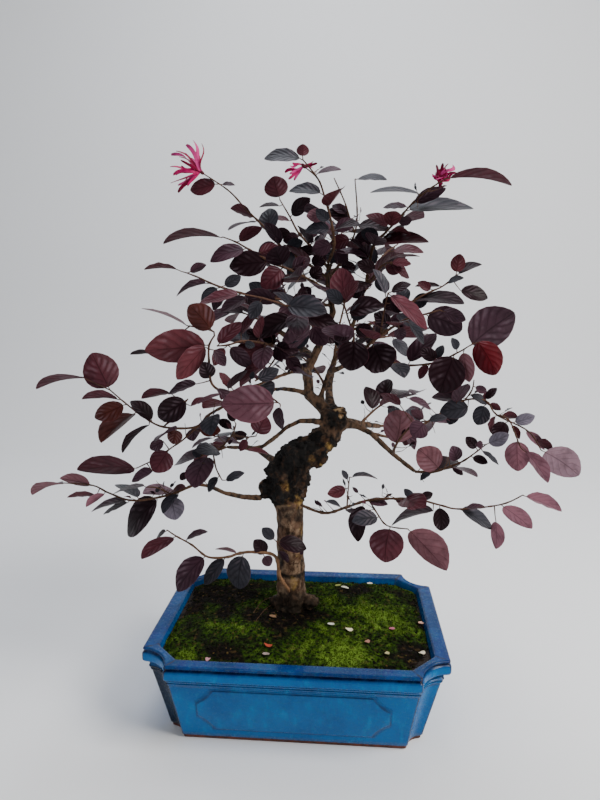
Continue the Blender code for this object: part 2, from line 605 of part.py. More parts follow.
def smooth_line(rows, step):
    """A Catmull-Rom curve through rows of numbers, with a row about every step of its first three."""
    rows = [Vector(row) for row in rows]
    line = [rows[0]]
    for i in range(len(rows) - 1):
        before, start = rows[max(i - 1, 0)], rows[i]
        end, after = rows[i + 1], rows[min(i + 2, len(rows) - 1)]
        parts = max(1, round((end.xyz - start.xyz).length / step))
        for k in range(1, parts + 1):
            t = k / parts
            line.append(0.5 * (
                2 * start + (end - before) * t + (2 * before - 5 * start + 4 * end - after) * t * t
                + (3 * start - before - 3 * end + after) * t ** 3
            ))
    return line


def limb_line(limb, step):
    """Points and radii in millimetres along a woody limb."""
    rows = []
    for right, down, depth, radius in limb:
        point = on_page(right, down, depth)
        rows.append((*point, radius * page_unit(depth)))
    line = smooth_line(rows, step)
    return [row.xyz for row in line], [row.w for row in line]


def limb_solids():
    """Sections of every woody limb, the trunk first with its bark lobes."""
    points, radii = limb_line(TRUNK, TRUNK_STEP)
    trunk = tube_sections(points, radii, TRUNK_SIDES)
    for level, (middle, section) in enumerate(zip(points, trunk)):
        for k, corner in enumerate(section):
            turn = 2 * math.pi * k / TRUNK_SIDES
            lobe = BARK_LOBES[0] * math.sin(3 * turn + 0.35 * level)
            lobe += BARK_LOBES[1] * math.sin(5 * turn - 0.6 * level)
            section[k] = middle + (corner - middle) * (1 + lobe)
    solids = [trunk]
    for limb in LIMBS + (CUT_STUB,):
        points, radii = limb_line(limb, LIMB_STEP)
        solids.append(tube_sections(points, radii, LIMB_SIDES))
    return solids


def twig_line(stem, main):
    """Points and radii along a stem of a spray, thinner where it forks off another."""
    points = [on_page(*spot) for spot in stem]
    first = TWIG_ROOT if main else TWIG_TIP + 0.2
    last = len(points) - 1
    return points, [first + (TWIG_TIP - first) * i / last for i in range(len(points))]


def reach_of(sections):
    """The middle and the radius of a ball around sections."""
    points = [point for section in sections for point in section]
    middle = sum(points, Vector()) / len(points)
    return middle, max((point - middle).length for point in points)


class Layout:
    """Places every leaf clear of the wood, the stems and the leaves before it."""

    def __init__(self):
        self.taken = []
        self.blades = {spray.name: [] for spray in SPRAYS}
        for sections in limb_solids():
            self.take("wood", sections)
        self.lines = {}
        for spray in SPRAYS:
            lines = [twig_line(stem, i == 0) for i, stem in enumerate(spray.stems)]
            self.lines[spray.name] = lines
            for points, radii in lines:
                for i in range(len(points) - 1):
                    part = tube_sections(points[i:i + 2], radii[i:i + 2], TWIG_SIDES)
                    self.take("stem " + spray.name, part)

        for bloom in BLOOMS:
            self.take("bloom", tube_sections(self.core(bloom), CORE_RADII, CORE_SIDES))
            for blade in self.petals(bloom):
                self.take("bloom", blade_sections(blade, STRAP_PROFILE))

    def core(self, bloom):
        """Points along the core of a flower head, just off its stem's end."""
        points, _ = self.lines[bloom.spray][bloom.stem]
        ahead = (points[-1] - points[-2]).normalized()
        return [points[-1] + ahead * (GAP + reach) for reach in CORE_REACHES]

    def petals(self, bloom):
        """The petals of a flower head, rooted one behind the other in its core."""
        points, _ = self.lines[bloom.spray][bloom.stem]
        stem = [spray for spray in SPRAYS if spray.name == bloom.spray][0].stems[bloom.stem]
        ahead = (points[-1] - points[-2]).normalized()
        blades = []
        for i, row in enumerate(bloom.petals):
            blade = seen_blade(stem[-1], (*row[:5], 0, STRAP_FULL), row[5])
            root = points[-1] + ahead * (GAP + PETAL_FIRST + PETAL_SPREAD * i / len(bloom.petals))
            blades.append(blade._replace(root=root))
        return blades

    def take(self, owner, sections):
        """Notes that a solid with these sections fills its place."""
        self.taken.append((owner, *reach_of(sections), loft_tree(sections)))

    def is_clear(self, spray, blade):
        """Whether a leaf of a spray keeps clear of all but its own stems and its neighbours' feet."""
        whole = leaf_sections(blade, CLEAR)
        middle, radius = reach_of(whole)
        whole_tree = loft_tree(whole)
        blade_tree = loft_tree(whole[2:])
        for owner, centre, reach, tree in self.taken:
            if owner == "stem " + spray or (centre - middle).length > reach + radius:
                continue
            mine = blade_tree if owner == spray else whole_tree
            if mine.overlap(tree):
                return False
        return True

    def place(self, spray, tries):
        """Keeps the first of the blades tried that is clear, and tells whether there was one."""
        for blade in tries:
            if self.is_clear(spray, blade):
                self.blades[spray].append(blade)
                self.take(spray, leaf_sections(blade))
                return True
        return False

    def place_seen(self, spray, draw):
        """Places the leaves that a spray shows on the page, tilted until each is clear."""
        for row in spray.leaves:
            spot = nearest_stem(spray.stems, row[0], row[1])
            long = math.hypot(row[2] - row[0], row[3] - row[1]) * page_unit(spot[2])
            start = row[5] if len(row) > 5 else long * draw.uniform(-TILT_START, TILT_START)
            steps = sorted(range(-TILT_STEPS, TILT_STEPS + 1), key=abs)
            tries = (seen_blade(spot, row, start + step * TILT_STEP * long) for step in steps)
            self.place(spray.name, tries)

    def place_grown(self, spray, draw):
        """Places the leaves that a spray has by rule."""
        for i in range(spray.fill):
            points = self.lines[spray.name][0][0]
            first, last = FILL_BARE if spray.leaves else FILL_BACK
            place = first + (last - first) * (i + 0.5) / spray.fill
            side = 1 if i % 2 else -1
            tries = (grown_blade(points, place, side, draw) for _ in range(GROW_TRIES))
            self.place(spray.name, tries)


def settle_leaves():
    """The layout with every leaf in place."""
    draw = random.Random(LEAF_SEED)
    layout = Layout()
    for spray in SPRAYS:
        layout.place_seen(spray, draw)
    for spray in SPRAYS:
        layout.place_grown(spray, draw)
    return layout


def finish(name, colour, roughness):
    """A plain material."""
    material = bpy.data.materials.new(name)
    material.use_nodes = True
    shader = material.node_tree.nodes["Principled BSDF"]
    shader.inputs["Base Color"].default_value = (*colour, 1)
    shader.inputs["Roughness"].default_value = roughness
    return material


def solid(name, sections, material=None):
    """An object with one closed skin through sections."""
    points, faces = loft_lists(sections)
    body = bmesh.new()
    corners = [body.verts.new(point * MM) for point in points]
    for face in faces:
        body.faces.new([corners[i] for i in face])
    bmesh.ops.recalc_face_normals(body, faces=body.faces)
    return placed(name, body, material)


def placed(name, body, material=None):
    """An object made from a bmesh, which is freed."""
    mesh = bpy.data.meshes.new(name)
    body.to_mesh(mesh)
    body.free()
    if material:
        mesh.materials.append(material)
    item = bpy.data.objects.new(name, mesh)
    bpy.context.scene.collection.objects.link(item)
    return item


def apply_modifiers(item):
    """Replaces an object's mesh by the one its modifiers give."""
    graph = bpy.context.evaluated_depsgraph_get()
    mesh = bpy.data.meshes.new_from_object(item.evaluated_get(graph))
    item.modifiers.clear()
    item.data = mesh


def fuse(item, others):
    """Joins the others to an object as one body and removes them.

    The solver is the manifold one, because the exact one leaves open edges where leaf stalks meet.
    """
    group = bpy.data.collections.new(item.name + "_parts")
    bpy.context.scene.collection.children.link(group)
    for other in others:
        bpy.context.scene.collection.objects.unlink(other)
        group.objects.link(other)
    union = item.modifiers.new("Union", "BOOLEAN")
    union.operand_type = "COLLECTION"
    union.collection = group
    union.operation = "UNION"
    union.solver = "MANIFOLD"
    apply_modifiers(item)
    for other in others:
        bpy.data.objects.remove(other)
    bpy.data.collections.remove(group)


def keep_largest(item):
    """Drops loose scraps, so that an object is one body."""
    body = bmesh.new()
    body.from_mesh(item.data)
    groups = []
    seen = set()
    for start in body.verts:
        if start in seen:
            continue
        group, ahead = [], [start]
        seen.add(start)
        while ahead:
            vert = ahead.pop()
            group.append(vert)
            for edge in vert.link_edges:
                other = edge.other_vert(vert)
                if other not in seen:
                    seen.add(other)
                    ahead.append(other)
        groups.append(group)
    groups.sort(key=len, reverse=True)
    for group in groups[1:]:
        bmesh.ops.delete(body, geom=group, context="VERTS")
    body.to_mesh(item.data)
    body.free()


def round_cutter(foot, radius, bottom, top):
    """An upright round cutter between two heights."""
    body = bmesh.new()
    place = Matrix.Translation(Vector((foot.x, foot.y, (bottom + top) / 2)) * MM)
    bmesh.ops.create_cone(body, cap_ends=True, segments=HOLE_SIDES, radius1=radius * MM,
                          radius2=radius * MM, depth=(top - bottom) * MM, matrix=place)
    return placed("round_cutter", body)


def cut_away(item, cutter):
    """Cuts one object out of another and removes it."""
    cut = item.modifiers.new("Cut", "BOOLEAN")
    cut.object = cutter
    cut.operation = "DIFFERENCE"
    cut.solver = "EXACT"
    apply_modifiers(item)
    bpy.data.objects.remove(cutter)


def pot_outline(length, width, scoop, height, hollow=1.0):
    """A rectangle with its corners scooped out, or cut straight where hollow is 0, at one height."""
    outline = []
    for side_x, side_y, start in ((1, 1, 270), (-1, 1, 0), (-1, -1, 90), (1, -1, 180)):
        corner = Vector((side_x * length / 2, side_y * width / 2, height))
        spokes = []
        for k in range(SCOOP_STEPS + 1):
            angle = math.radians(start - 90 * k / SCOOP_STEPS)
            spokes.append(Vector((math.cos(angle), math.sin(angle), 0)))
        for k, spoke in enumerate(spokes):
            straight = spokes[0].lerp(spokes[-1], k / SCOOP_STEPS)
            outline.append(corner + straight.lerp(spoke, hollow) * scoop)
    return outline


def blend(low, high, share):
    """Values between two rows of numbers."""
    return tuple(a + (b - a) * share for a, b in zip(low, high))


def outer_size(height):
    """Length, width and scoop of the pot's tapering wall outside at a height under its rim."""
    foot = (FOOT_LENGTH, FOOT_WIDTH, FOOT_SCOOP)
    top = (POT_LENGTH - 2 * RIM_STEP, POT_WIDTH - 2 * RIM_STEP, RIM_SCOOP - RIM_STEP)
    return blend(foot, top, height / (POT_HEIGHT - RIM_FACE))


def inner_size(height, spare=0.0):
    """Length, width and corner cut of the pot's inside at a height, smaller all round by the spare."""
    floor = (FOOT_LENGTH - 2 * WALL, FOOT_WIDTH - 2 * WALL, FLOOR_CUT)
    rim = (POT_LENGTH - 2 * RIM_WIDTH, POT_WIDTH - 2 * RIM_WIDTH, INNER_CUT)
    length, width, cut = blend(floor, rim, (height - FLOOR) / (POT_HEIGHT - FLOOR))
    return length - 2 * spare, width - 2 * spare, cut


def make_pot():
    """The glazed pot with two drain holes and a raised panel on its front and back."""
    under_rim = POT_HEIGHT - RIM_FACE
    levels = [
        (*outer_size(0), 0),
        (*outer_size(under_rim), under_rim),
        (POT_LENGTH - 1, POT_WIDTH - 1, RIM_SCOOP - 0.5, under_rim + 1),
        (POT_LENGTH, POT_WIDTH, RIM_SCOOP, POT_HEIGHT - 3),
        (POT_LENGTH - 1.5, POT_WIDTH - 1.5, RIM_SCOOP - 0.5, POT_HEIGHT),
        (*inner_size(POT_HEIGHT), POT_HEIGHT, 0),
        (*inner_size(FLOOR), FLOOR, 0),
    ]
    glaze = finish("glaze", (0.012, 0.12, 0.36), 0.2)
    pot = solid("pot", [pot_outline(*level) for level in levels], glaze)
    fuse(pot, [panel(side) for side in (-1, 1)])
    for side in (-1, 1):
        cut_away(pot, round_cutter(Vector((side * DRAIN_SPACING, 0, 0)), DRAIN_RADIUS, -FLOOR, 2 * FLOOR))
    pot.data.materials.clear()
    pot.data.materials.append(glaze)
    return pot


def panel(side):
    """The raised panel on the pot's front (side -1) or back (side 1), leaning with the wall."""
    middle = (PANEL_LOW + PANEL_HIGH) / 2
    sections = []
    for rise, ease in ((-PANEL_SUNK, 0.0), (PANEL_RELIEF * 0.3, 0.0), (PANEL_RELIEF, PANEL_RELIEF)):
        outline = pot_outline(PANEL_LENGTH - 2 * ease, PANEL_HIGH - PANEL_LOW - 2 * ease, PANEL_SCOOP, 0)
        section = []
        for point in outline:
            height = middle + point.y
            section.append(Vector((point.x, side * (outer_size(height)[1] / 2 + rise), height)))
        sections.append(section)
    return solid("panel", sections)


def soil_height(x, y):
    """Height of the soil's mounded top."""
    length, width, _ = inner_size(SOIL_EDGE)
    return SOIL_EDGE + SOIL_MOUND * max(0, 1 - (2 * x / length) ** 2) * max(0, 1 - (2 * y / width) ** 2)


def trunk_foot():
    """Where the trunk's middle line goes into the soil."""
    points, _ = limb_line(TRUNK, TRUNK_STEP)
    return Vector((points[0].x, points[0].y, 0))


def make_soil():
    """The soil, mounded, with a plain hole for the trunk."""
    floor = FLOOR + SCREEN_THICK + 2 * GAP
    foot = trunk_foot()
    sections = [pot_outline(*inner_size(height, GAP), height, 0) for height in (floor, SOIL_EDGE)]
    edge = sections[-1]
    for share in SOIL_RINGS:
        section = [foot.lerp(Vector((point.x, point.y, 0)), share) for point in edge]
        sections.append([Vector((point.x, point.y, soil_height(point.x, point.y))) for point in section])
    sections.append([Vector((foot.x, foot.y, soil_height(foot.x, foot.y)))])
    soil = solid("soil", sections, finish("soil_mix", (0.09, 0.07, 0.05), 0.95))
    radius = (STUB_RADIUS + GAP) / math.cos(math.pi / HOLE_SIDES)
    drill = round_cutter(foot, radius, STUB_BOTTOM - GAP, POT_HEIGHT + 2 * SOIL_MOUND)
    cut_away(soil, drill)
    return soil


def make_screen(name, middle_x):
    """A square mesh screen that keeps the soil over a drain hole."""
    body = bmesh.new()
    middle = Vector((middle_x, 0, FLOOR + GAP + SCREEN_THICK / 2))
    size = Matrix.Diagonal((SCREEN_SIZE * MM, SCREEN_SIZE * MM, SCREEN_THICK * MM, 1))
    bmesh.ops.create_cube(body, size=1, matrix=Matrix.Translation(middle * MM) @ size)
    screen = placed(name, body, finish(name, (0.05, 0.05, 0.05), 0.6))
    cutters = bmesh.new()
    for column in (-1, 1):
        for row in (-1, 1):
            spot = middle + Vector((column, row, 0)) * SCREEN_PITCH / 2
            hole = Matrix.Diagonal((SCREEN_HOLE * MM, SCREEN_HOLE * MM, 4 * SCREEN_THICK * MM, 1))
            bmesh.ops.create_cube(cutters, size=1, matrix=Matrix.Translation(spot * MM) @ hole)
    cut_away(screen, placed("mesh_cutter", cutters))
    return screen


def knob(index, right, down, depth, radius):
    """A lump of the burl, a rough ball."""
    body = bmesh.new()
    middle = on_page(right, down, depth)
    size = radius * page_unit(depth)
    bmesh.ops.create_icosphere(body, subdivisions=2, radius=size * MM)
    for vert in body.verts:
        wave = math.sin(4 * vert.co.x / size / MM + index) + math.sin(5 * vert.co.z / size / MM + 2 * index)
        vert.co = vert.co * (1 + KNOB_WAVE * wave) + middle * MM
    return placed("knob", body)


def make_trunk():
    """The trunk with its burl and main branches, and the stub that stands in the soil."""
    bark = finish("bark", (0.24, 0.16, 0.10), 0.85)
    solids = limb_solids()
    trunk = solid("trunk", solids[0], bark)
    parts = [solid("limb", sections) for sections in solids[1:]]
    parts += [knob(i, *spot) for i, spot in enumerate(BURL_KNOBS)]
    fuse(trunk, parts)
    foot = trunk_foot()
    top = soil_height(foot.x, foot.y)
    below = bmesh.new()
    middle = foot + UP * (top + GAP - GROUND_CUT / 2)
    bmesh.ops.create_cube(below, size=GROUND_CUT * MM, matrix=Matrix.Translation(middle * MM))
    cut_away(trunk, placed("ground_cutter", below))
    stub = tube_sections([foot + UP * STUB_BOTTOM, foot + UP * (top + STUB_RISE)],
                         [STUB_RADIUS, STUB_RADIUS * STUB_TAPER], TRUNK_SIDES)
    fuse(trunk, [solid("stub", stub)])
    keep_largest(trunk)
    trunk.data.materials.clear()
    trunk.data.materials.append(bark)
    return trunk


def off_surface(tree, points, radius):
    """Points of a stem that starts just off the wood instead of inside it."""
    start = points[1]
    back = (points[0] - points[1]).normalized()
    hit, normal, _, _ = tree.ray_cast(start, back)
    if hit is None:
        return points
    slant = abs(normal.dot(back))
    gap = SEAT_GAP + radius * math.sqrt(max(0, 1 - slant * slant)) / max(slant, 0.25)
    return [hit - back * gap] + points[1:]


def make_spray(spray, layout, wood):
    """A leafy shoot, fused to one body."""
    parts = []
    for i, (points, radii) in enumerate(layout.lines[spray.name]):
        if i == 0:
            points = off_surface(wood, points, radii[0])
        parts.append(solid("twig", tube_sections(points, radii, TWIG_SIDES)))
    for blade in layout.blades[spray.name]:
        parts.append(solid("leaf", leaf_sections(blade)))
    item = parts[0]
    item.name = spray.name
    fuse(item, parts[1:])
    keep_largest(item)
    item.data.materials.clear()
    item.data.materials.append(finish(spray.name, spray.colour, 0.5))


def make_bloom(bloom, layout):
    """A flower head at a stem's end."""
    item = solid(bloom.name, tube_sections(layout.core(bloom), CORE_RADII, CORE_SIDES))
    parts = [solid("petal", blade_sections(blade, STRAP_PROFILE)) for blade in layout.petals(bloom)]
    fuse(item, parts)
    keep_largest(item)
    item.data.materials.clear()
    item.data.materials.append(finish(bloom.name, (0.75, 0.02, 0.22), 0.5))


def main():
    """Builds the pot, the soil and the tree."""
    for item in list(bpy.data.objects):
        bpy.data.objects.remove(item)
    make_pot()
    make_soil()
    for name, side in (("drain_screen_left", -1), ("drain_screen_right", 1)):
        make_screen(name, side * DRAIN_SPACING)
    trunk = make_trunk()
    trunk_mesh = bmesh.new()
    trunk_mesh.from_mesh(trunk.data)
    bmesh.ops.scale(trunk_mesh, vec=Vector((1, 1, 1)) / MM, verts=trunk_mesh.verts)
    wood = BVHTree.FromBMesh(trunk_mesh)
    trunk_mesh.free()
    layout = settle_leaves()
    for spray in SPRAYS:
        make_spray(spray, layout, wood)
    for bloom in BLOOMS:
        make_bloom(bloom, layout)


if __name__ == "__main__":
    main()
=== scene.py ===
"""Looks of the chinese fringe flower bonsai in its blue glazed pot.

Tables and named sizes are in millimetres, and meshes are in metres. The tree is drawn the way it is
seen, as its solids are: a place on the page is given to the right and down, in page units, with its
depth behind (+) or in front of (-) the pot's middle line in millimetres.
"""

import logging
from collections.abc import Iterable, Sequence
from dataclasses import dataclass, field
from enum import Enum
from math import asin, cos, hypot, inf, pi, radians, sin, sqrt
from random import Random
from typing import NamedTuple

import bmesh
import bpy
import numpy as np
from bmesh.types import BMesh, BMFace, BMLayerItem, BMVert
from bpy.types import Material, Mesh, Node, NodeSocket, Object
from mathutils import Matrix, Vector, noise
from mathutils.kdtree import KDTree


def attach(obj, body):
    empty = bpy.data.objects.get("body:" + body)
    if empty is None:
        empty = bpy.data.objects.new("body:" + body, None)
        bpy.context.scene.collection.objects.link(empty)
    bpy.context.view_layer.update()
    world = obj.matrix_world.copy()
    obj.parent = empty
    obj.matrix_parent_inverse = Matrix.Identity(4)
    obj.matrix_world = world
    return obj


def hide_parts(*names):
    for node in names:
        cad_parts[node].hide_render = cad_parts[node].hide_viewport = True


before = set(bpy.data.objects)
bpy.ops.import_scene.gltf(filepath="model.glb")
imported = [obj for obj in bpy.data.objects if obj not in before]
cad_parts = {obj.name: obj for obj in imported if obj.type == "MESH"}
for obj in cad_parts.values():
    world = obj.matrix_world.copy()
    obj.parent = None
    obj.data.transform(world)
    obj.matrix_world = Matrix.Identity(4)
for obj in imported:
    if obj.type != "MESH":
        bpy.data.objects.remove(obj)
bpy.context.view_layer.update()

LOG = logging.getLogger("bonsai")
MM = 0.001
UP = Vector((0, 0, 1))
WELD = 0.01
FULL_TURN = 6.28

# Sockets of a mix node that hold its colours
COLOURS_IN = (6, 7)
COLOUR_OUT = 2

# View of the page
EYE = Vector((38.1, -500.9, 357.2))
EYE_DOWN = radians(9.64)
EYE_LEFT = radians(4.32)
PAGE_FOCUS = 600.0
PAGE_MIDDLE = (300.0, 400.0)
PAGE_HEIGHT = 800.0
TREE_DEPTH = 11.0
GAP = 0.35

# Leaves
LEAF_SEED = 11
BLOOM_SEED = 111
LEAF_FULL = 0.64
STALK_LEAST = 2.6
ARCH = 0.05
SUCKER = {"stem_root": 1.7, "youth": -1.0}
FILL_BARE = (0.08, 0.62)
FILL_BACK = (0.22, 1.0)
STRAP_FULL = 0.13
PETAL_FIRST = 1.2
PETAL_SPREAD = 3.0

# How a leaf is tilted until its tip meets a corner of its spray's solid, and how leaves grow by rule
TILT_START = 0.3
TILT_STEP = 0.09
TILT_STEPS = 11
GROW_TRIES = 14
GROW_TURN = 0.9
GROW_ANGLE = (0.75, 1.25)
GROW_RISE = (-0.45, 0.3)
GROW_LENGTH = (21.0, 33.0)
GROW_STALK = (3.0, 4.5)
GROW_LEAN = 0.6
GROW_RATIO = (0.58, 0.8)
TIP_SPARE = 0.02


Pair = tuple[float, float]
Spot = tuple[float, float, float]
Row = Sequence[float]
Stem = Sequence[Row]
Line = Sequence[Vector]


class Spray(NamedTuple):
    """A leafy shoot: its stems, its leaves seen on the page, and how many more it has by rule.

    A stem is a list of (right, down, depth). A leaf is (foot right, foot down, tip right, tip down,
    width seen) and then, where given, how much nearer its tip is and its full width over its length.
    A width below zero shows the underside.
    """

    name: str
    stems: Sequence[Stem]
    leaves: Sequence[Row]
    fill: int = 0


class Bloom(NamedTuple):
    """A head of strap petals at a stem's end: its spray, its stem, its petals as leaves are given.

    Then come how much they curl and how many thinner petals stand beside each.
    """

    name: str
    spray: str
    stem: int
    petals: Sequence[Row]
    curl: float = 0.16
    extra: int = 1


class Blade(NamedTuple):
    """One leaf or petal in space."""

    root: Vector
    foot: Vector
    tip: Vector
    normal: Vector
    width: float


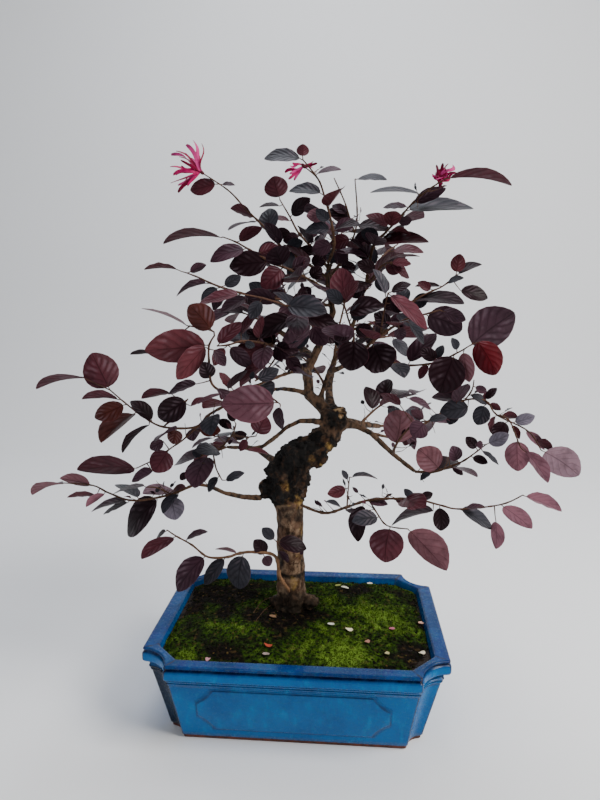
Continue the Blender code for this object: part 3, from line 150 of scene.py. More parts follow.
SPRAYS = (
    Spray("spray_left_far", (
        ((268, 389, -25), (240, 399, -42), (210, 414, -55), (196, 427, -60), (163.5, 427, -62),
         (143, 416.5, -62), (124, 402, -64), (110, 390, -66)),
        ((203, 421, -57), (184, 439, -52), (174, 446, -50), (155, 459, -50), (137, 468, -52)),
        ((163.5, 427, -62), (176, 414, -72), (188, 399, -78)),
    ), (
        (108, 388, 92, 353, -36, -4, 0.92), (84, 378, 36, 387.5, -6), (121, 400, 82, 397.5, -8),
        (127, 403, 94.5, 418, 20), (133, 414, 100, 440, -17), (155, 419.5, 131, 400, 15),
        (187, 398, 158, 418, 26), (170, 393, 141.5, 398, -9), (177, 422, 173, 444, -16),
        (149, 425, 122, 452.5, -7), (163, 441, 150, 449, 12), (191, 406, 207, 398, 6),
        (135.6, 468.6, 78, 467, -20), (152.5, 471.6, 132, 481, 11), (180, 465, 154, 472, -25, 4, 0.9),
        (197, 427, 221, 431, 16),
    ), 5),
    Spray("spray_left_low", (
        ((211, 487, -18), (195, 485, -24), (171, 494.5, -30), (134, 500.6, -36), (109, 493, -42),
         (93, 485.5, -46), (64, 483, -50)),
        ((171, 494.5, -30), (158, 488, -40), (147, 487, -48)),
    ), (
        (94.5, 480.5, 60, 477.6, -12), (64, 484, 32, 493.6, -6), (96, 496, 67, 497, -6),
        (105.5, 494, 86, 507, -8), (125, 501, 91, 512, 7), (127, 503, 103, 514, 6),
        (157, 501, 125, 534.6, 27), (171, 498, 176, 520, 23, 6), (174.5, 482, 143, 493, -12),
        (144, 486, 112, 493, 5), (186, 482, 172, 492, 9),
    ), 2),
    Spray("spray_left_inner", (
        ((226, 447, -20), (213, 452, -24), (201, 456, -28), (189, 472, -32)),
        ((213, 452, -24), (216, 468, -34), (222, 480, -38)),
        ((219.5, 449.5, -22), (232, 435, -34), (236, 424, -44)),
        ((232, 435, -34), (246, 437, -50), (256, 436, -60)),
    ), (
        (247, 450, 269, 453, -5), (230, 437, 247, 434, 10), (231, 429, 218, 420, 10),
        (218, 476, 208, 492, 9), (226, 480, 244, 472, 9), (205, 455, 192, 452, 10), (190, 471, 180, 480, 8),
        (236, 424, 228, 410, 9), (257, 436, 266, 416, 22, 3, 0.85), (248, 438, 240, 451, -9),
    ), 4),
    Spray("spray_sucker", (
        ((292, 594, -8), (280, 577, -22), (275, 556, -28), (252, 552, -36), (237, 554, -42),
         (228, 557, -46), (208, 557, -52), (192, 545, -56), (176, 536, -58), (167, 530, -60)),
    ), (
        (175, 537, 141.5, 559, -15), (166, 530, 155, 542, 4), (184, 540, 207.5, 531, 7),
        (203.5, 558, 176, 591, 24), (226, 558.5, 204.6, 585, 15), (243, 554, 238, 589, 26, 3, 0.8),
        (268, 553, 254, 540, 15), (263, 553, 270, 566, -12), (239, 552, 215, 549, 4),
    )),
    Spray("spray_trunk_shoot", (
        ((291, 566, -4), (288, 558, -24), (281, 548, -31), (276, 541, -34)),
    ), (
        (277, 541, 307, 548, 17), (279, 551, 288, 563, -7), (274, 540, 262, 528, 12),
    )),
    Spray("spray_rust", (
        ((302, 369, -22), (280, 376, -62), (255, 386, -84), (228, 392, -98), (212, 384, -104),
         (209, 362, -108), (209, 345, -110), (214, 332, -110), (190, 326, -106)),
        ((255, 386, -84), (268, 395, -104), (280, 404, -116)),
    ), (
        (213.5, 330, 189, 305, -26, 4, 0.86), (207, 345, 144.6, 349, -34, 10),
        (205, 347, 176, 379, -22, 12), (186, 325, 141, 309, 3), (154, 353, 130, 355, -5),
        (209, 381, 203, 362, 17, 6, 0.8), (225, 393, 247, 369, -8), (196, 384, 168, 394, 10),
        (277, 404, 221, 404, 38, 10), (214, 388, 236, 411, 11), (233, 388, 220, 372, 9),
        (279, 406, 280, 430, 12), (214, 350, 226, 366, 12),
    ), 4),
    Spray("spray_crown_left", (
        ((293, 359, -44), (280, 350, -60), (271, 345, -70), (245, 341, -82), (228, 345, -90),
         (217, 346, -94)),
        ((280, 350, -60), (270, 366, -84), (255, 381, -94)),
    ), (
        (217, 346, 241, 322, -15), (241, 334, 258, 311, 9), (269, 346, 234, 356, -26, 8),
        (271, 347, 290, 356, 20), (267, 362, 240, 387, -12), (255, 381, 279, 369, 14),
        (226, 347, 214, 366, -12), (262, 344, 247, 330, 14), (283, 356, 300, 371, 14),
        (229, 348, 251, 367, -16), (241, 340, 255, 346, 8), (259, 338, 262, 316, -10),
        (287, 356, 311, 358, 5), (252, 340, 231, 330, 12), (276, 348, 262, 330, 13),
    ), 6),
    Spray("spray_crown_front", (
        ((324, 337, 0), (314, 327, -30), (301, 314, -58), (284, 305, -78), (262, 298, -88), (241, 294, -96)),
    ), (
        (241, 293.6, 200, 303, 11), (278, 305, 244.5, 292.5, -15, 6), (284, 307, 327, 311, 22, 8),
        (291.5, 318, 255, 337, 20), (296, 322, 337, 326, 17), (302, 322, 290, 349, 24),
        (262, 299, 250, 319, 14), (290, 309, 307, 291, 12), (303, 313, 322, 299, -9),
        (311, 324, 326, 345, 20), (318, 330, 339, 340, 16),
    ), 5),
    Spray("spray_left_short", (
        ((332, 306, 0), (300, 301, -16), (260, 297, -32), (230, 290, -44), (210.5, 283, -52),
         (200, 278, -54), (187, 273, -56)),
    ), (
        (177, 269.5, 144, 268, -5), (180, 271, 206.5, 265, -9), (209, 282, 175, 294, 7),
        (228, 290, 212, 310, 12), (222, 287, 241, 276, 12), (243, 294, 262, 310, 12),
        (268, 297, 249, 283, 14), (288, 300, 268, 292, 10), (219, 288, 201, 301, 12),
        (296, 301, 311, 288, 13),
    ), 6),
    Spray("spray_left_long", (
        ((330, 292, 0), (310, 280, -14), (290, 270, -24), (271, 262, -30), (250, 250, -34), (236, 242, -38),
         (223, 237, -40)),
    ), (
        (223, 237, 163, 241, -6), (237, 243, 262, 227, -12), (247, 248, 210, 262, 15),
        (269, 263, 229, 267, 25, 4), (258, 252, 279, 246, -12), (283, 268, 262, 287, 22),
        (290, 270, 310, 259, 14), (278, 265, 262, 251, 12), (308, 280, 322, 268, 13),
    ), 6),
    Spray("spray_bloom_left", (
        ((328, 278, 0), (305, 262, 8), (280.5, 246, 12), (269, 232, 12), (245, 208, 14), (229, 191, 14),
         (204, 174, 14)),
    ), (
        (217, 185, 190, 190, 15), (219, 185, 235, 184.5, 4), (257, 215, 230, 209, -10),
        (270, 235, 290, 232, 11), (284, 249, 303, 241, 12), (276, 242, 258, 255, 12),
        (293, 256, 318, 251, 11), (301, 262, 287, 275, 12), (309, 266, 326, 256, 13),
    ), 5),
    Spray("spray_upright_left", (
        ((328, 268, 0), (312, 248, 20), (298, 232, 24), (290, 217, 24), (280, 200, 24)),
    ), (
        (279, 200, 274, 176, -23, 3, 0.86), (290, 217, 310, 198, 14), (290, 222, 269, 220, 5),
        (279, 206, 259, 207, 4), (300, 236, 283, 241, 12), (304, 240, 318, 224, 12),
    ), 4),
    Spray("spray_bloom_top", (
        ((328, 263, 0), (334, 246, -10), (332, 225, -14), (324, 195, -14), (318, 179, -14), (306, 168, -14)),
        ((318, 179, -14), (310, 168, -26), (303, 160, -32)),
    ), (
        (299.5, 158, 264, 159, 12, 2), (302.5, 156, 303, 144, -12, 1, 0.9), (322, 194, 288.6, 189, 11),
        (316, 173, 341, 168, 5), (328, 213, 306, 216, -13), (332, 229, 305, 231, 12),
        (332, 232, 355, 220, 13), (334, 243, 312, 250, 15), (330, 222, 316, 209, 11),
        (333, 250, 348, 262, 12),
    ), 5),
    Spray("spray_cut_twig", (
        ((330, 276, 0), (341, 262, 14), (349, 249, 20), (357, 221, 22), (355, 179, 22)),
        ((354, 232, 21), (345, 203, 20), (334, 178, 20)),
    ), (
        (354, 175.6, 387, 178, 6), (357, 226, 389, 230, 12), (352, 238, 331, 245, 14),
        (350, 246, 371, 252, 15), (352, 223, 329, 209, 14), (350, 214, 332, 205, 9),
        (352, 243, 378, 237, 15), (341, 263, 326, 252, 13), (339, 266, 356, 268, 12),
    ), 3),
    Spray("spray_bloom_right", (
        ((369, 274, 5), (373, 247, 4), (387, 231, 0), (401, 216, -4), (416.5, 199, -8), (438, 183, -12)),
        ((416.5, 199, -8), (431, 188, -26), (446, 178.5, -34)),
    ), (
        (450, 178, 512, 186, -7, 2), (407, 211, 474, 206.5, 13), (414, 205, 446, 188, -12),
        (422, 193, 370, 192, 5), (409, 206, 383, 208, 6), (395, 222, 412, 220, 9), (376, 246, 429, 239, 12),
        (390, 228, 366, 214, 10), (381, 237, 361, 232, 13), (388, 231, 411, 235, -5),
        (372, 258, 357, 250, 12),
    ), 5),
    Spray("spray_wine", (
        ((364, 292, 4), (374, 276, -14), (383, 265, -22), (392, 262, -26)),
    ), (
        (380, 264, 402, 270, -12), (388, 260, 411.5, 263, 8), (377, 271, 357, 262, 13),
        (372, 278, 389, 290, 13), (390, 264, 409, 278, 9), (367, 286, 350, 296, 12),
    ), 3),
    Spray("spray_right_high", (
        ((352, 330, 4), (385, 318, 14), (411, 302, 18), (430, 292, 22), (443, 286, 24), (456, 275, 26)),
    ), (
        (456, 274, 460, 254, -14, 0, 0.8), (457, 274.5, 482, 264, 8), (443, 286, 415, 286, -5),
        (413, 296, 464, 301, -12), (461, 291, 488, 298, 14), (430, 293, 412, 307, 13),
        (398, 310, 383, 299, 14), (388, 316, 407, 326, 14), (446, 285, 464, 278, 6),
        (433, 291, 418, 282, 9), (371, 323, 388, 334, 14),
    ), 6),
    Spray("spray_right_round", (
        ((340, 352, 4), (360, 357, -14), (383, 357, -24), (401, 365, -30), (433.5, 363, -38),
         (457, 353, -44), (469, 346, -48)),
    ), (
        (468.6, 345, 514, 312, -39, 3, 0.88), (478, 342, 496, 375, -27, 8, 0.74), (464, 352, 470, 382, -16),
        (455, 355, 440, 393, 36, 4, 0.9), (440, 363, 420, 349, 13), (388, 360, 370, 372, 12),
        (436, 362, 443, 345, 9), (430, 363, 419, 379, 9), (458, 352, 452, 338, 8), (366, 357, 385, 345, 14),
    ), 5),
    Spray("spray_right_front", (
        ((358, 354, -46), (380, 336, -66), (405, 320, -74), (426, 314, -79), (440, 310, -82)),
        ((380, 336, -66), (384, 312, -78), (388, 293, -84)),
    ), (
        (425, 316, 462, 330, -29, 4, 0.8), (440, 309, 466, 320, -13), (388.6, 290, 427, 330, 14, 4),
        (407, 321, 424, 344, 9), (372, 343, 384, 372, 35, 4, 0.95), (392, 328, 374, 313, 14),
        (386, 297, 373, 269, 9), (390, 291, 411, 284, 9), (398, 324, 402, 340, -12),
        (388, 302, 404, 311, 10),
    ), 4),
    Spray("spray_dark_heart", (
        ((342, 367, -22), (347, 351, -52), (354, 338, -60), (348, 318, -62), (343, 300, -62)),
    ), (
        (355, 338, 350, 371, 31, 4, 0.95), (348, 306, 341, 267, 25), (344, 306, 326, 290, 13),
        (349, 320, 371, 304, 15), (351, 326, 335, 340, 14), (345, 303, 358, 280, -11),
        (348, 312, 384, 306, 18), (353, 334, 372, 327, 14),
    ), 4),
    Spray("spray_right_drop", (
        ((393, 455, -8), (395, 447, -26), (402, 436, -34), (414, 424, -38), (426, 421, -40)),
    ), (
        (394, 445, 400, 409, -33, 3, 0.92), (400, 405, 381, 392, -9), (426, 420, 411, 410, -9),
        (434, 422, 412, 436, 20, 4), (428, 421, 447, 417, 8),
    )),
    Spray("spray_right_mid", (
        ((415, 471.5, -12), (433, 472, -20), (450, 466.5, -26), (465, 460, -30), (486, 444.5, -36)),
    ), (
        (440, 469, 418, 449, 27, 3, 0.86), (458, 462, 452, 446, 14, 2, 0.9), (487, 443, 509, 434, 14),
        (470, 457, 488, 463, 9), (478, 450, 466, 437, 11), (450, 467, 463, 475, 7), (433, 472, 420, 480, 6),
        (488, 443, 476, 445, 8, 2, 0.7), (480, 449, 499, 465, 5, 4, 0.4),
    ), 2),
    Spray("spray_right_far", (
        ((371, 433, -3), (393, 437, 10), (415, 429, 14), (443, 412, 16), (465, 400, 16), (486, 401, 14),
         (497, 415, 12), (528, 431, 6), (541, 450, 2)),
        ((465, 400, 16), (472, 390, 10), (474, 380, 6)),
        ((497, 415, 12), (509, 420, -6), (516, 436, -14), (521, 448, -18)),
    ), (
        (464, 399, 431.5, 396, -12), (468, 407, 440, 412, 20), (474, 386, 487, 392, 8),
        (484, 406, 477, 425, 17), (488, 402, 501, 410, -7), (500, 414, 518, 417.5, -8),
        (512.6, 422, 535, 416, 12), (510, 423, 520, 439, -6), (516, 439, 518, 471, -24, 3),
        (526, 452, 548, 483, -14), (541, 433, 553, 450, -9), (545, 452, 579, 475, -30, 2, 0.8),
        (490, 405, 471, 394, 8), (455, 404, 449, 425, 13), (484, 400, 497, 388, 8),
        (506, 423, 494, 438, 16, 3, 0.85), (524, 431, 545, 449, -9, 3, 0.5),
        (481, 401, 492, 392, 6, -3, 0.6), (481, 425, 491, 434, -6, 2, 0.6),
    ), 2),
    Spray("spray_right_low", (
        ((301, 505, -10), (325, 513, -20), (347, 507, -24), (369, 500, -28), (393, 498.6, -32),
         (416, 499, -36), (440, 505, -40), (460, 509, -44), (501, 504.5, -50), (523, 495, -54)),
        ((347, 507, -24), (348, 492, -24), (349.5, 477, -24)),
        ((369, 500, -28), (377, 513, -33), (387, 525.5, -37), (408, 529, -41)),
    ), (
        (349, 488, 327.5, 494, -13), (343, 508, 326, 501, 5), (351, 477, 378, 477, 4),
        (363, 506, 356, 542, 19, 4, 0.6), (378, 519, 352, 521.5, 17, 6, 0.68), (366, 501, 388, 504, 9),
        (390, 527, 385, 562, -36, 4, 0.95), (409.5, 529, 447, 570, -30, 4, 0.72), (433, 511, 390, 523, 11),
        (393, 501, 416, 510, 9), (439, 507, 441, 531, 17), (459, 510, 494, 527, 14),
        (463, 508, 486, 507, 6), (496, 522, 496, 549, -14), (501, 505, 532, 529, -17),
        (523, 494, 562, 511, -12), (418, 499, 433, 493, 9), (349, 482, 342, 470, 6),
        (416, 499, 404, 489, 8),
    ), 2),
    Spray("spray_back_high", (((332, 370, 60), (338, 332, 72), (345, 298, 94), (343, 265, 104)),), (), 9),
    Spray("spray_back_right", (
        ((338, 348, 86), (368, 340, 108), (400, 335, 122), (428, 334, 132)),
    ), (), 7),
    Spray("spray_back_middle", (((329, 394, 32), (314, 368, 66), (290, 350, 96), (258, 340, 116)),), (), 9),
    Spray("spray_back_left", (((277, 330, 56), (255, 318, 76), (232, 308, 92)),), (), 7),
    Spray("spray_back_upright", (((296, 343, 30), (291, 312, 56), (282, 282, 70)),), (), 7),
    Spray("spray_back_low_left", (((256, 449, 66), (234, 441, 86), (206, 434, 102)),), (), 6),
    Spray("spray_back_low_right", (((380, 426, 60), (405, 424, 82), (434, 420, 98)),), (), 7),
    Spray("spray_back_far_right", (((360, 424, 36), (383, 404, 58), (416, 394, 76)),), (), 7),
    Spray("spray_top_back", (((328, 276, 2), (336, 248, 36), (343, 230, 58)),), (), 6),
    Spray("spray_top_right", (((367, 282, 6), (383, 256, 40), (398, 244, 62)),), (), 5),
)

BLOOMS = (
    Bloom("bloom_left", "spray_bloom_left", 0, (
        (202, 170, 193, 140, 5, 2), (200, 169, 186, 145, 2.6, -6), (198, 170, 176, 151, 2.6, 5),
        (197, 172, 171, 155, 2.6, -4), (197, 174, 170, 167, 2.8, 7), (198, 171, 181, 160, 2.6, 14),
        (198, 176, 171, 183, 2.8, -5), (198, 177, 173, 175, 2.4, 9), (199, 179, 178, 192, 3, 4),
        (200, 172, 190, 158, 2.4, -14), (201, 179, 187, 186, 2.4, 12),
    )),
    Bloom("bloom_top", "spray_bloom_top", 0, (
        (306, 161, 317, 163, 2.4, 2), (298, 165, 285, 172, 2.6, -3), (298, 167, 288.6, 179, 2.6, 3),
        (300, 168, 294, 180, 2.6, -2), (304, 165, 313, 168, 2.2, -4), (299, 163, 290, 166, 2.2, 5),
    )),
    Bloom("bloom_right", "spray_bloom_right", 0, (
        (441, 177, 436, 165, 3.4, -3), (444, 175, 443, 163, 3.4, 4), (448, 175, 453, 165, 3.4, -2),
        (439, 180, 432, 174, 3, 3), (450, 178, 457, 173, 3, 2), (442, 184, 439, 190, 3, -2),
        (446, 178, 449, 169, 3.4, 9), (443, 181, 437, 180, 3, 9),
    ), 0.4, 3),
)


def page_ray(right: float, down: float) -> Vector:
    """The direction in which a place on the page is seen from the eye.

    Args:
        right: The place's distance to the right, in page units.
        down: Its distance down.

    Returns:
        The direction, which is not of length 1.
    """
    fall, turn = sin(EYE_DOWN), EYE_LEFT
    level = cos(EYE_DOWN)
    forward = Vector((-level * sin(turn), level * cos(turn), -fall))
    rightward = Vector((cos(turn), sin(turn), 0))
    downward = Vector((fall * sin(turn), -fall * cos(turn), -level))
    across = (right - PAGE_MIDDLE[0]) / PAGE_FOCUS
    drop = (down - PAGE_MIDDLE[1]) / PAGE_FOCUS
    return forward + rightward * across + downward * drop


def on_page(right: float, down: float, depth: float) -> Vector:
    """The point in space that is seen at a place on the page, at a depth."""
    ray = page_ray(right, down)
    return EYE + ray * ((depth + TREE_DEPTH - EYE.y) / ray.y)


def on_level(right: float, down: float, height: float) -> Vector:
    """The point at a height that is seen at a place on the page."""
    ray = page_ray(right, down)
    return EYE + ray * ((height - EYE.z) / ray.z)


def page_spot(point: Vector) -> Pair:
    """Where a point in space is seen on the page, to the right and down.

    Args:
        point: The point, in millimetres.

    Returns:
        Its place to the right and down, in page units.
    """
    away = point - EYE
    ahead, beside, below = (page_ray(PAGE_MIDDLE[0] + a, PAGE_MIDDLE[1] + b)
                            for a, b in ((0, 0), (PAGE_FOCUS, 0), (0, PAGE_FOCUS)))
    near = PAGE_FOCUS / away.dot(ahead)
    across, drop = (near * away.dot(ray - ahead) for ray in (beside, below))
    return PAGE_MIDDLE[0] + across, PAGE_MIDDLE[1] + drop


def page_unit(depth: float) -> float:
    """How many millimetres one page unit covers near the page's middle at a depth."""
    return (depth + TREE_DEPTH - EYE.y) / page_ray(*PAGE_MIDDLE).y / PAGE_FOCUS


def nearest_stem(stems: Sequence[Stem], right: float, down: float) -> Spot:
    """The (right, down, depth) on the stems that lies nearest to a place on the page.

    Args:
        stems: The stems.
        right: The place's distance to the right.
        down: Its distance down.

    Returns:
        The spot.
    """
    best_gap, best = inf, None
    for stem in stems:
        for (x0, y0, d0), (x1, y1, d1) in zip(stem, stem[1:]):
            run = (x1 - x0) ** 2 + (y1 - y0) ** 2 + 1e-6
            share = ((right - x0) * (x1 - x0) + (down - y0) * (y1 - y0)) / run
            share = min(1, max(0, share))
            spot = (x0 + share * (x1 - x0), y0 + share * (y1 - y0), d0 + share * (d1 - d0))
            gap = hypot(right - spot[0], down - spot[1])
            if gap < best_gap:
                best_gap, best = gap, spot
    return best


def seen_blade(root_spot: Spot, row: Row, nearer: float) -> Blade:
    """A blade that covers the page as its row says, its tip nearer to the eye by that much.

    Args:
        root_spot: Where its stalk leaves the stem.
        row: Its row in the table.
        nearer: How much nearer its tip is.

    Returns:
        The blade.
    """
    x0, y0, x1, y1, width = row[:5]
    full = row[6] if len(row) > 6 else LEAF_FULL
    depth = root_spot[2]
    root = on_page(*root_spot)
    foot = on_page(x0, y0, depth)
    tip = on_page(x1, y1, depth - nearer)
    if (foot - root).length < STALK_LEAST or (foot - root).dot(tip - foot) < 0:
        foot = root + (tip - root).normalized() * STALK_LEAST
    axis = (tip - foot).normalized()
    to_eye = (EYE - (foot + tip) / 2).normalized()
    across = axis.cross(to_eye).normalized()
    facing = across.cross(axis).normalized()
    if across.z < 0:
        across.negate()
    seen = abs(width) * page_unit(depth)
    true_width = max(seen, full * (tip - foot).length)
    sine = seen / true_width
    toward = facing if width > 0 else -facing
    normal = toward * sine + across * sqrt(1 - sine * sine)
    return Blade(root, foot, tip, normal.normalized(), true_width)


def grown_blade(points: Line, place: float, side: int, draw: Random) -> Blade:
    """A leaf that grows by rule from a stem through these points, at a share of its length.

    Args:
        points: The stem's points.
        place: The share of its length.
        side: The side, -1 or 1.
        draw: The random numbers.

    Returns:
        The blade.
    """
    spans = [(b - a).length for a, b in zip(points, points[1:])]
    reach = place * sum(spans)
    index = 0
    while reach > spans[index] and index < len(spans) - 1:
        reach -= spans[index]
        index += 1
    along = (points[index + 1] - points[index]).normalized()
    root = points[index] + along * reach
    beside = along.cross(UP)
    beside = beside.normalized() if beside.length > 0.2 else Vector((1, 0, 0))
    beside.rotate(Matrix.Rotation(draw.uniform(-GROW_TURN, GROW_TURN), 3, along))
    spread = draw.uniform(*GROW_ANGLE)
    axis = along * cos(spread) + beside * side * sin(spread) + UP * draw.uniform(*GROW_RISE)
    axis.normalize()
    length = draw.uniform(*GROW_LENGTH)
    foot = root + axis * draw.uniform(*GROW_STALK)
    across = axis.cross(UP).normalized()
    normal = across.cross(axis).normalized() + across * draw.uniform(-GROW_LEAN, GROW_LEAN)
    return Blade(root, foot, foot + axis * length, normal.normalized(), length * draw.uniform(*GROW_RATIO))


def tube_sections(points: Line, radii: Row, sides: int) -> list[Line]:
    """Round sections along a line of points.

    Args:
        points: The line.
        radii: The radius at each point.
        sides: How many points each section has.

    Returns:
        The sections.
    """
    sections = []
    lean = None
    for i, (point, radius) in enumerate(zip(points, radii)):
        ahead = (points[min(i + 1, len(points) - 1)] - points[max(i - 1, 0)]).normalized()
        if lean is None:
            lean = ahead.orthogonal().normalized()
        lean = (lean - ahead * lean.dot(ahead)).normalized()
        other = ahead.cross(lean)
        sections.append([
            point + (lean * cos(angle) + other * sin(angle)) * radius
            for angle in (2 * pi * k / sides for k in range(sides))
        ])
    return sections


def smooth_line(rows: Sequence[Row], step: float) -> list[Vector]:
    """A Catmull-Rom curve through rows of numbers, with a row about every step of its first three.

    Args:
        rows: The rows.
        step: The step.

    Returns:
        The rows along the curve.
    """
    rows = [Vector(row) for row in rows]
    line = [rows[0]]
    for i in range(len(rows) - 1):
        before, start = rows[max(i - 1, 0)], rows[i]
        end, after = rows[i + 1], rows[min(i + 2, len(rows) - 1)]
        parts = max(1, round((end.xyz - start.xyz).length / step))
        for k in range(1, parts + 1):
            t = k / parts
            line.append(0.5 * (
                2 * start + (end - before) * t + (2 * before - 5 * start + 4 * end - after) * t * t
                + (3 * start - before - 3 * end + after) * t ** 3
            ))
    return line


class Foliage:
    """The blades of every spray: of those that its rules offer, the ones whose tips its solid has."""

    def __init__(self) -> None:
        """Reads the corners of the sprays' solids and finds their blades."""
        self.grown = {spray.name: [] for spray in SPRAYS}
        self.corners = {}
        for spray in SPRAYS:
            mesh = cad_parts[spray.name].data
            tree = KDTree(len(mesh.vertices))
            for i, vert in enumerate(mesh.vertices):
                tree.insert(vert.co, i)
            tree.balance()
            self.corners[spray.name] = tree
        draw = Random(LEAF_SEED)
        for add in (self.add_seen, self.add_grown):
            for spray in SPRAYS:
                add(spray, draw)

    def keep(self, spray: str, tries: Iterable[Blade], row: Row | None) -> None:
        """Keeps the blade among those tried whose tip is a corner of the spray's solid.

        Args:
            spray: The spray's name.
            tries: The blades.
            row: The leaf's row in the table, or None for a leaf that grows by rule.
        """
        for blade in tries:
            if self.corners[spray].find(blade.tip * MM)[2] < TIP_SPARE * MM:
                self.grown[spray].append((blade, row))
                return

    def add_seen(self, spray: Spray, draw: Random) -> None:
        """Finds the leaves that a spray shows on the page, each at one of its tilts.

        Args:
            spray: The spray.
            draw: The random numbers.
        """
        for row in spray.leaves:
            spot = nearest_stem(spray.stems, row[0], row[1])
            long = hypot(row[2] - row[0], row[3] - row[1]) * page_unit(spot[2])
            start = row[5] if len(row) > 5 else long * draw.uniform(-TILT_START, TILT_START)
            steps = sorted(range(-TILT_STEPS, TILT_STEPS + 1), key=abs)
            tries = (seen_blade(spot, row, start + step * TILT_STEP * long) for step in steps)
            self.keep(spray.name, tries, row)

    def add_grown(self, spray: Spray, draw: Random) -> None:
        """Finds the leaves that a spray has by rule.

        Args:
            spray: The spray.
            draw: The random numbers.
        """
        points = [on_page(*spot) for spot in spray.stems[0]]
        first, last = FILL_BARE if spray.leaves else FILL_BACK
        for i in range(spray.fill):
            place = first + (last - first) * (i + 0.5) / spray.fill
            side = 1 if i % 2 else -1
            tries = (grown_blade(points, place, side, draw) for _ in range(GROW_TRIES))
            self.keep(spray.name, tries, None)


def paint(code: str) -> tuple[float, float, float, float]:
    """A colour for a shader from its six-digit screen code.

    Args:
        code: The colour as six hexadecimal digits.

    Returns:
        Linear red, green and blue, and an alpha of 1.
    """
    parts = [int(code[i:i + 2], 16) / 255 for i in (0, 2, 4)]
    linear = [p / 12.92 if p <= 0.04045 else ((p + 0.055) / 1.055) ** 2.4 for p in parts]
    return (*linear, 1.0)


def fade(value: float, low: float, high: float) -> float:
    """A smooth step from 0 at the low value to 1 at the high one."""
    share = min(1.0, max(0.0, (value - low) / (high - low)))
    return share * share * (3 - 2 * share)


class Shader:
    """Writes the node tree of one material in short calls."""

    def __init__(self, name: str) -> None:
        """Starts a material with its principled shader.

        Args:
            name: The material's name.
        """
        self.material = bpy.data.materials.new(name)
        self.material.use_nodes = True
        self.tree = self.material.node_tree
        self.skin = self.tree.nodes["Principled BSDF"]
        self.place = self.add("ShaderNodeTexCoord").outputs["Object"]

    def add(self, kind: str, inputs: dict | None = None, **settings: object) -> Node:
        """Adds a node.

        Args:
            kind: The node's type.
            inputs: Values or sockets for its inputs, by name or number.
            settings: Values for its own settings.

        Returns:
            The node.
        """
        node = self.tree.nodes.new(kind)
        for key, value in settings.items():
            setattr(node, key, value)
        for key, value in (inputs or {}).items():
            self.feed(node.inputs[key], value)
        return node

    def feed(self, socket: NodeSocket, value: object) -> None:
        """Links a socket to another one, or gives it a value.

        Args:
            socket: The input.
            value: An output socket, or a plain value.
        """
        if isinstance(value, NodeSocket):
            self.tree.links.new(value, socket)
        else:
            socket.default_value = value

    def noise(self, scale: float, detail: float = 4, stretch: Sequence[float] = (1, 1, 1),
              rough: float = 0.55, warp: float = 0) -> NodeSocket:
        """A cloudy pattern on the object's coordinates.

        Args:
            scale: Clouds for each metre.
            detail: Octaves.
            stretch: How the coordinates are scaled first.
            rough: How strong the finer octaves are.
            warp: How much the pattern is distorted.

        Returns:
            The pattern, from 0 to 1.
        """
        vector = self.add("ShaderNodeMapping", {"Vector": self.place, "Scale": stretch}).outputs[0]
        values = {"Vector": vector, "Scale": scale, "Detail": detail, "Roughness": rough, "Distortion": warp}
        return self.add("ShaderNodeTexNoise", values).outputs[0]

    def cells(self, scale: float) -> NodeSocket:
        """A pattern of cells on the object's coordinates, as the distance in each cell."""
        return self.add("ShaderNodeTexVoronoi", {"Vector": self.place, "Scale": scale}).outputs["Distance"]

    def calc(self, operation: str, *values: object, free: bool = False) -> NodeSocket:
        """A sum on values; unless it's free, adding, taking away and multiplying stay between 0 and 1.

        Args:
            operation: The kind of sum.
            values: Its values or sockets, in order.
            free: Whether the result may leave 0 to 1.

        Returns:
            The result.
        """
        held = not free and operation in ("ADD", "SUBTRACT", "MULTIPLY")
        node = self.add("ShaderNodeMath", dict(enumerate(values)), operation=operation, use_clamp=held)
        return node.outputs[0]

    def times(self, first: object, second: object) -> NodeSocket:
        """The product of two values, held between 0 and 1."""
        return self.calc("MULTIPLY", first, second)

    def span(self, value: object, low: float, high: float, start: float = 0, end: float = 1) -> NodeSocket:
        """Spreads the part of a value between two marks over another range.

        Args:
            value: The value.
            low: The value that gives start.
            high: The value that gives end.
            start: The result at low.
            end: The result at high.

        Returns:
            The result, smooth and held between start and end.
        """
        values = {"Value": value, "From Min": low, "From Max": high, "To Min": start, "To Max": end}
        return self.add("ShaderNodeMapRange", values, interpolation_type="SMOOTHSTEP").outputs[0]

    def mix(self, share: object, first: object, second: object, blend: str = "MIX") -> NodeSocket:
        """Blends two colours, each a socket or a screen code.

        Args:
            share: How much of the second there is.
            first: The first colour.
            second: The second colour.
            blend: The way they blend.

        Returns:
            The blended colour.
        """
        node = self.add("ShaderNodeMix", {0: share}, data_type="RGBA", blend_type=blend)
        for index, colour in zip(COLOURS_IN, (first, second)):
            self.feed(node.inputs[index], paint(colour) if isinstance(colour, str) else colour)
        return node.outputs[COLOUR_OUT]

    def attribute(self, name: str) -> Node:
        """The node that reads one of the mesh's own attributes."""
        return self.add("ShaderNodeAttribute", attribute_name=name)

    def channels(self, colour: NodeSocket) -> list[NodeSocket]:
        """The red, green and blue of a colour."""
        return list(self.add("ShaderNodeSeparateColor", {0: colour}).outputs)

    def bump(self, height: object, depth: float, strength: float) -> NodeSocket:
        """A bumpy normal, from a height of 0 to 1, the metres that 1 means and its strength."""
        values = {"Height": height, "Distance": depth, "Strength": strength}
        return self.add("ShaderNodeBump", values).outputs[0]

    def done(self, **inputs: object) -> Material:
        """Sets the principled shader's inputs and gives the material.

        Args:
            inputs: Values or sockets by the input's name, with _ for a space.

        Returns:
            The material.
        """
        for key, value in inputs.items():
            self.feed(self.skin.inputs[key.replace("_", " ")], value)
        return self.material


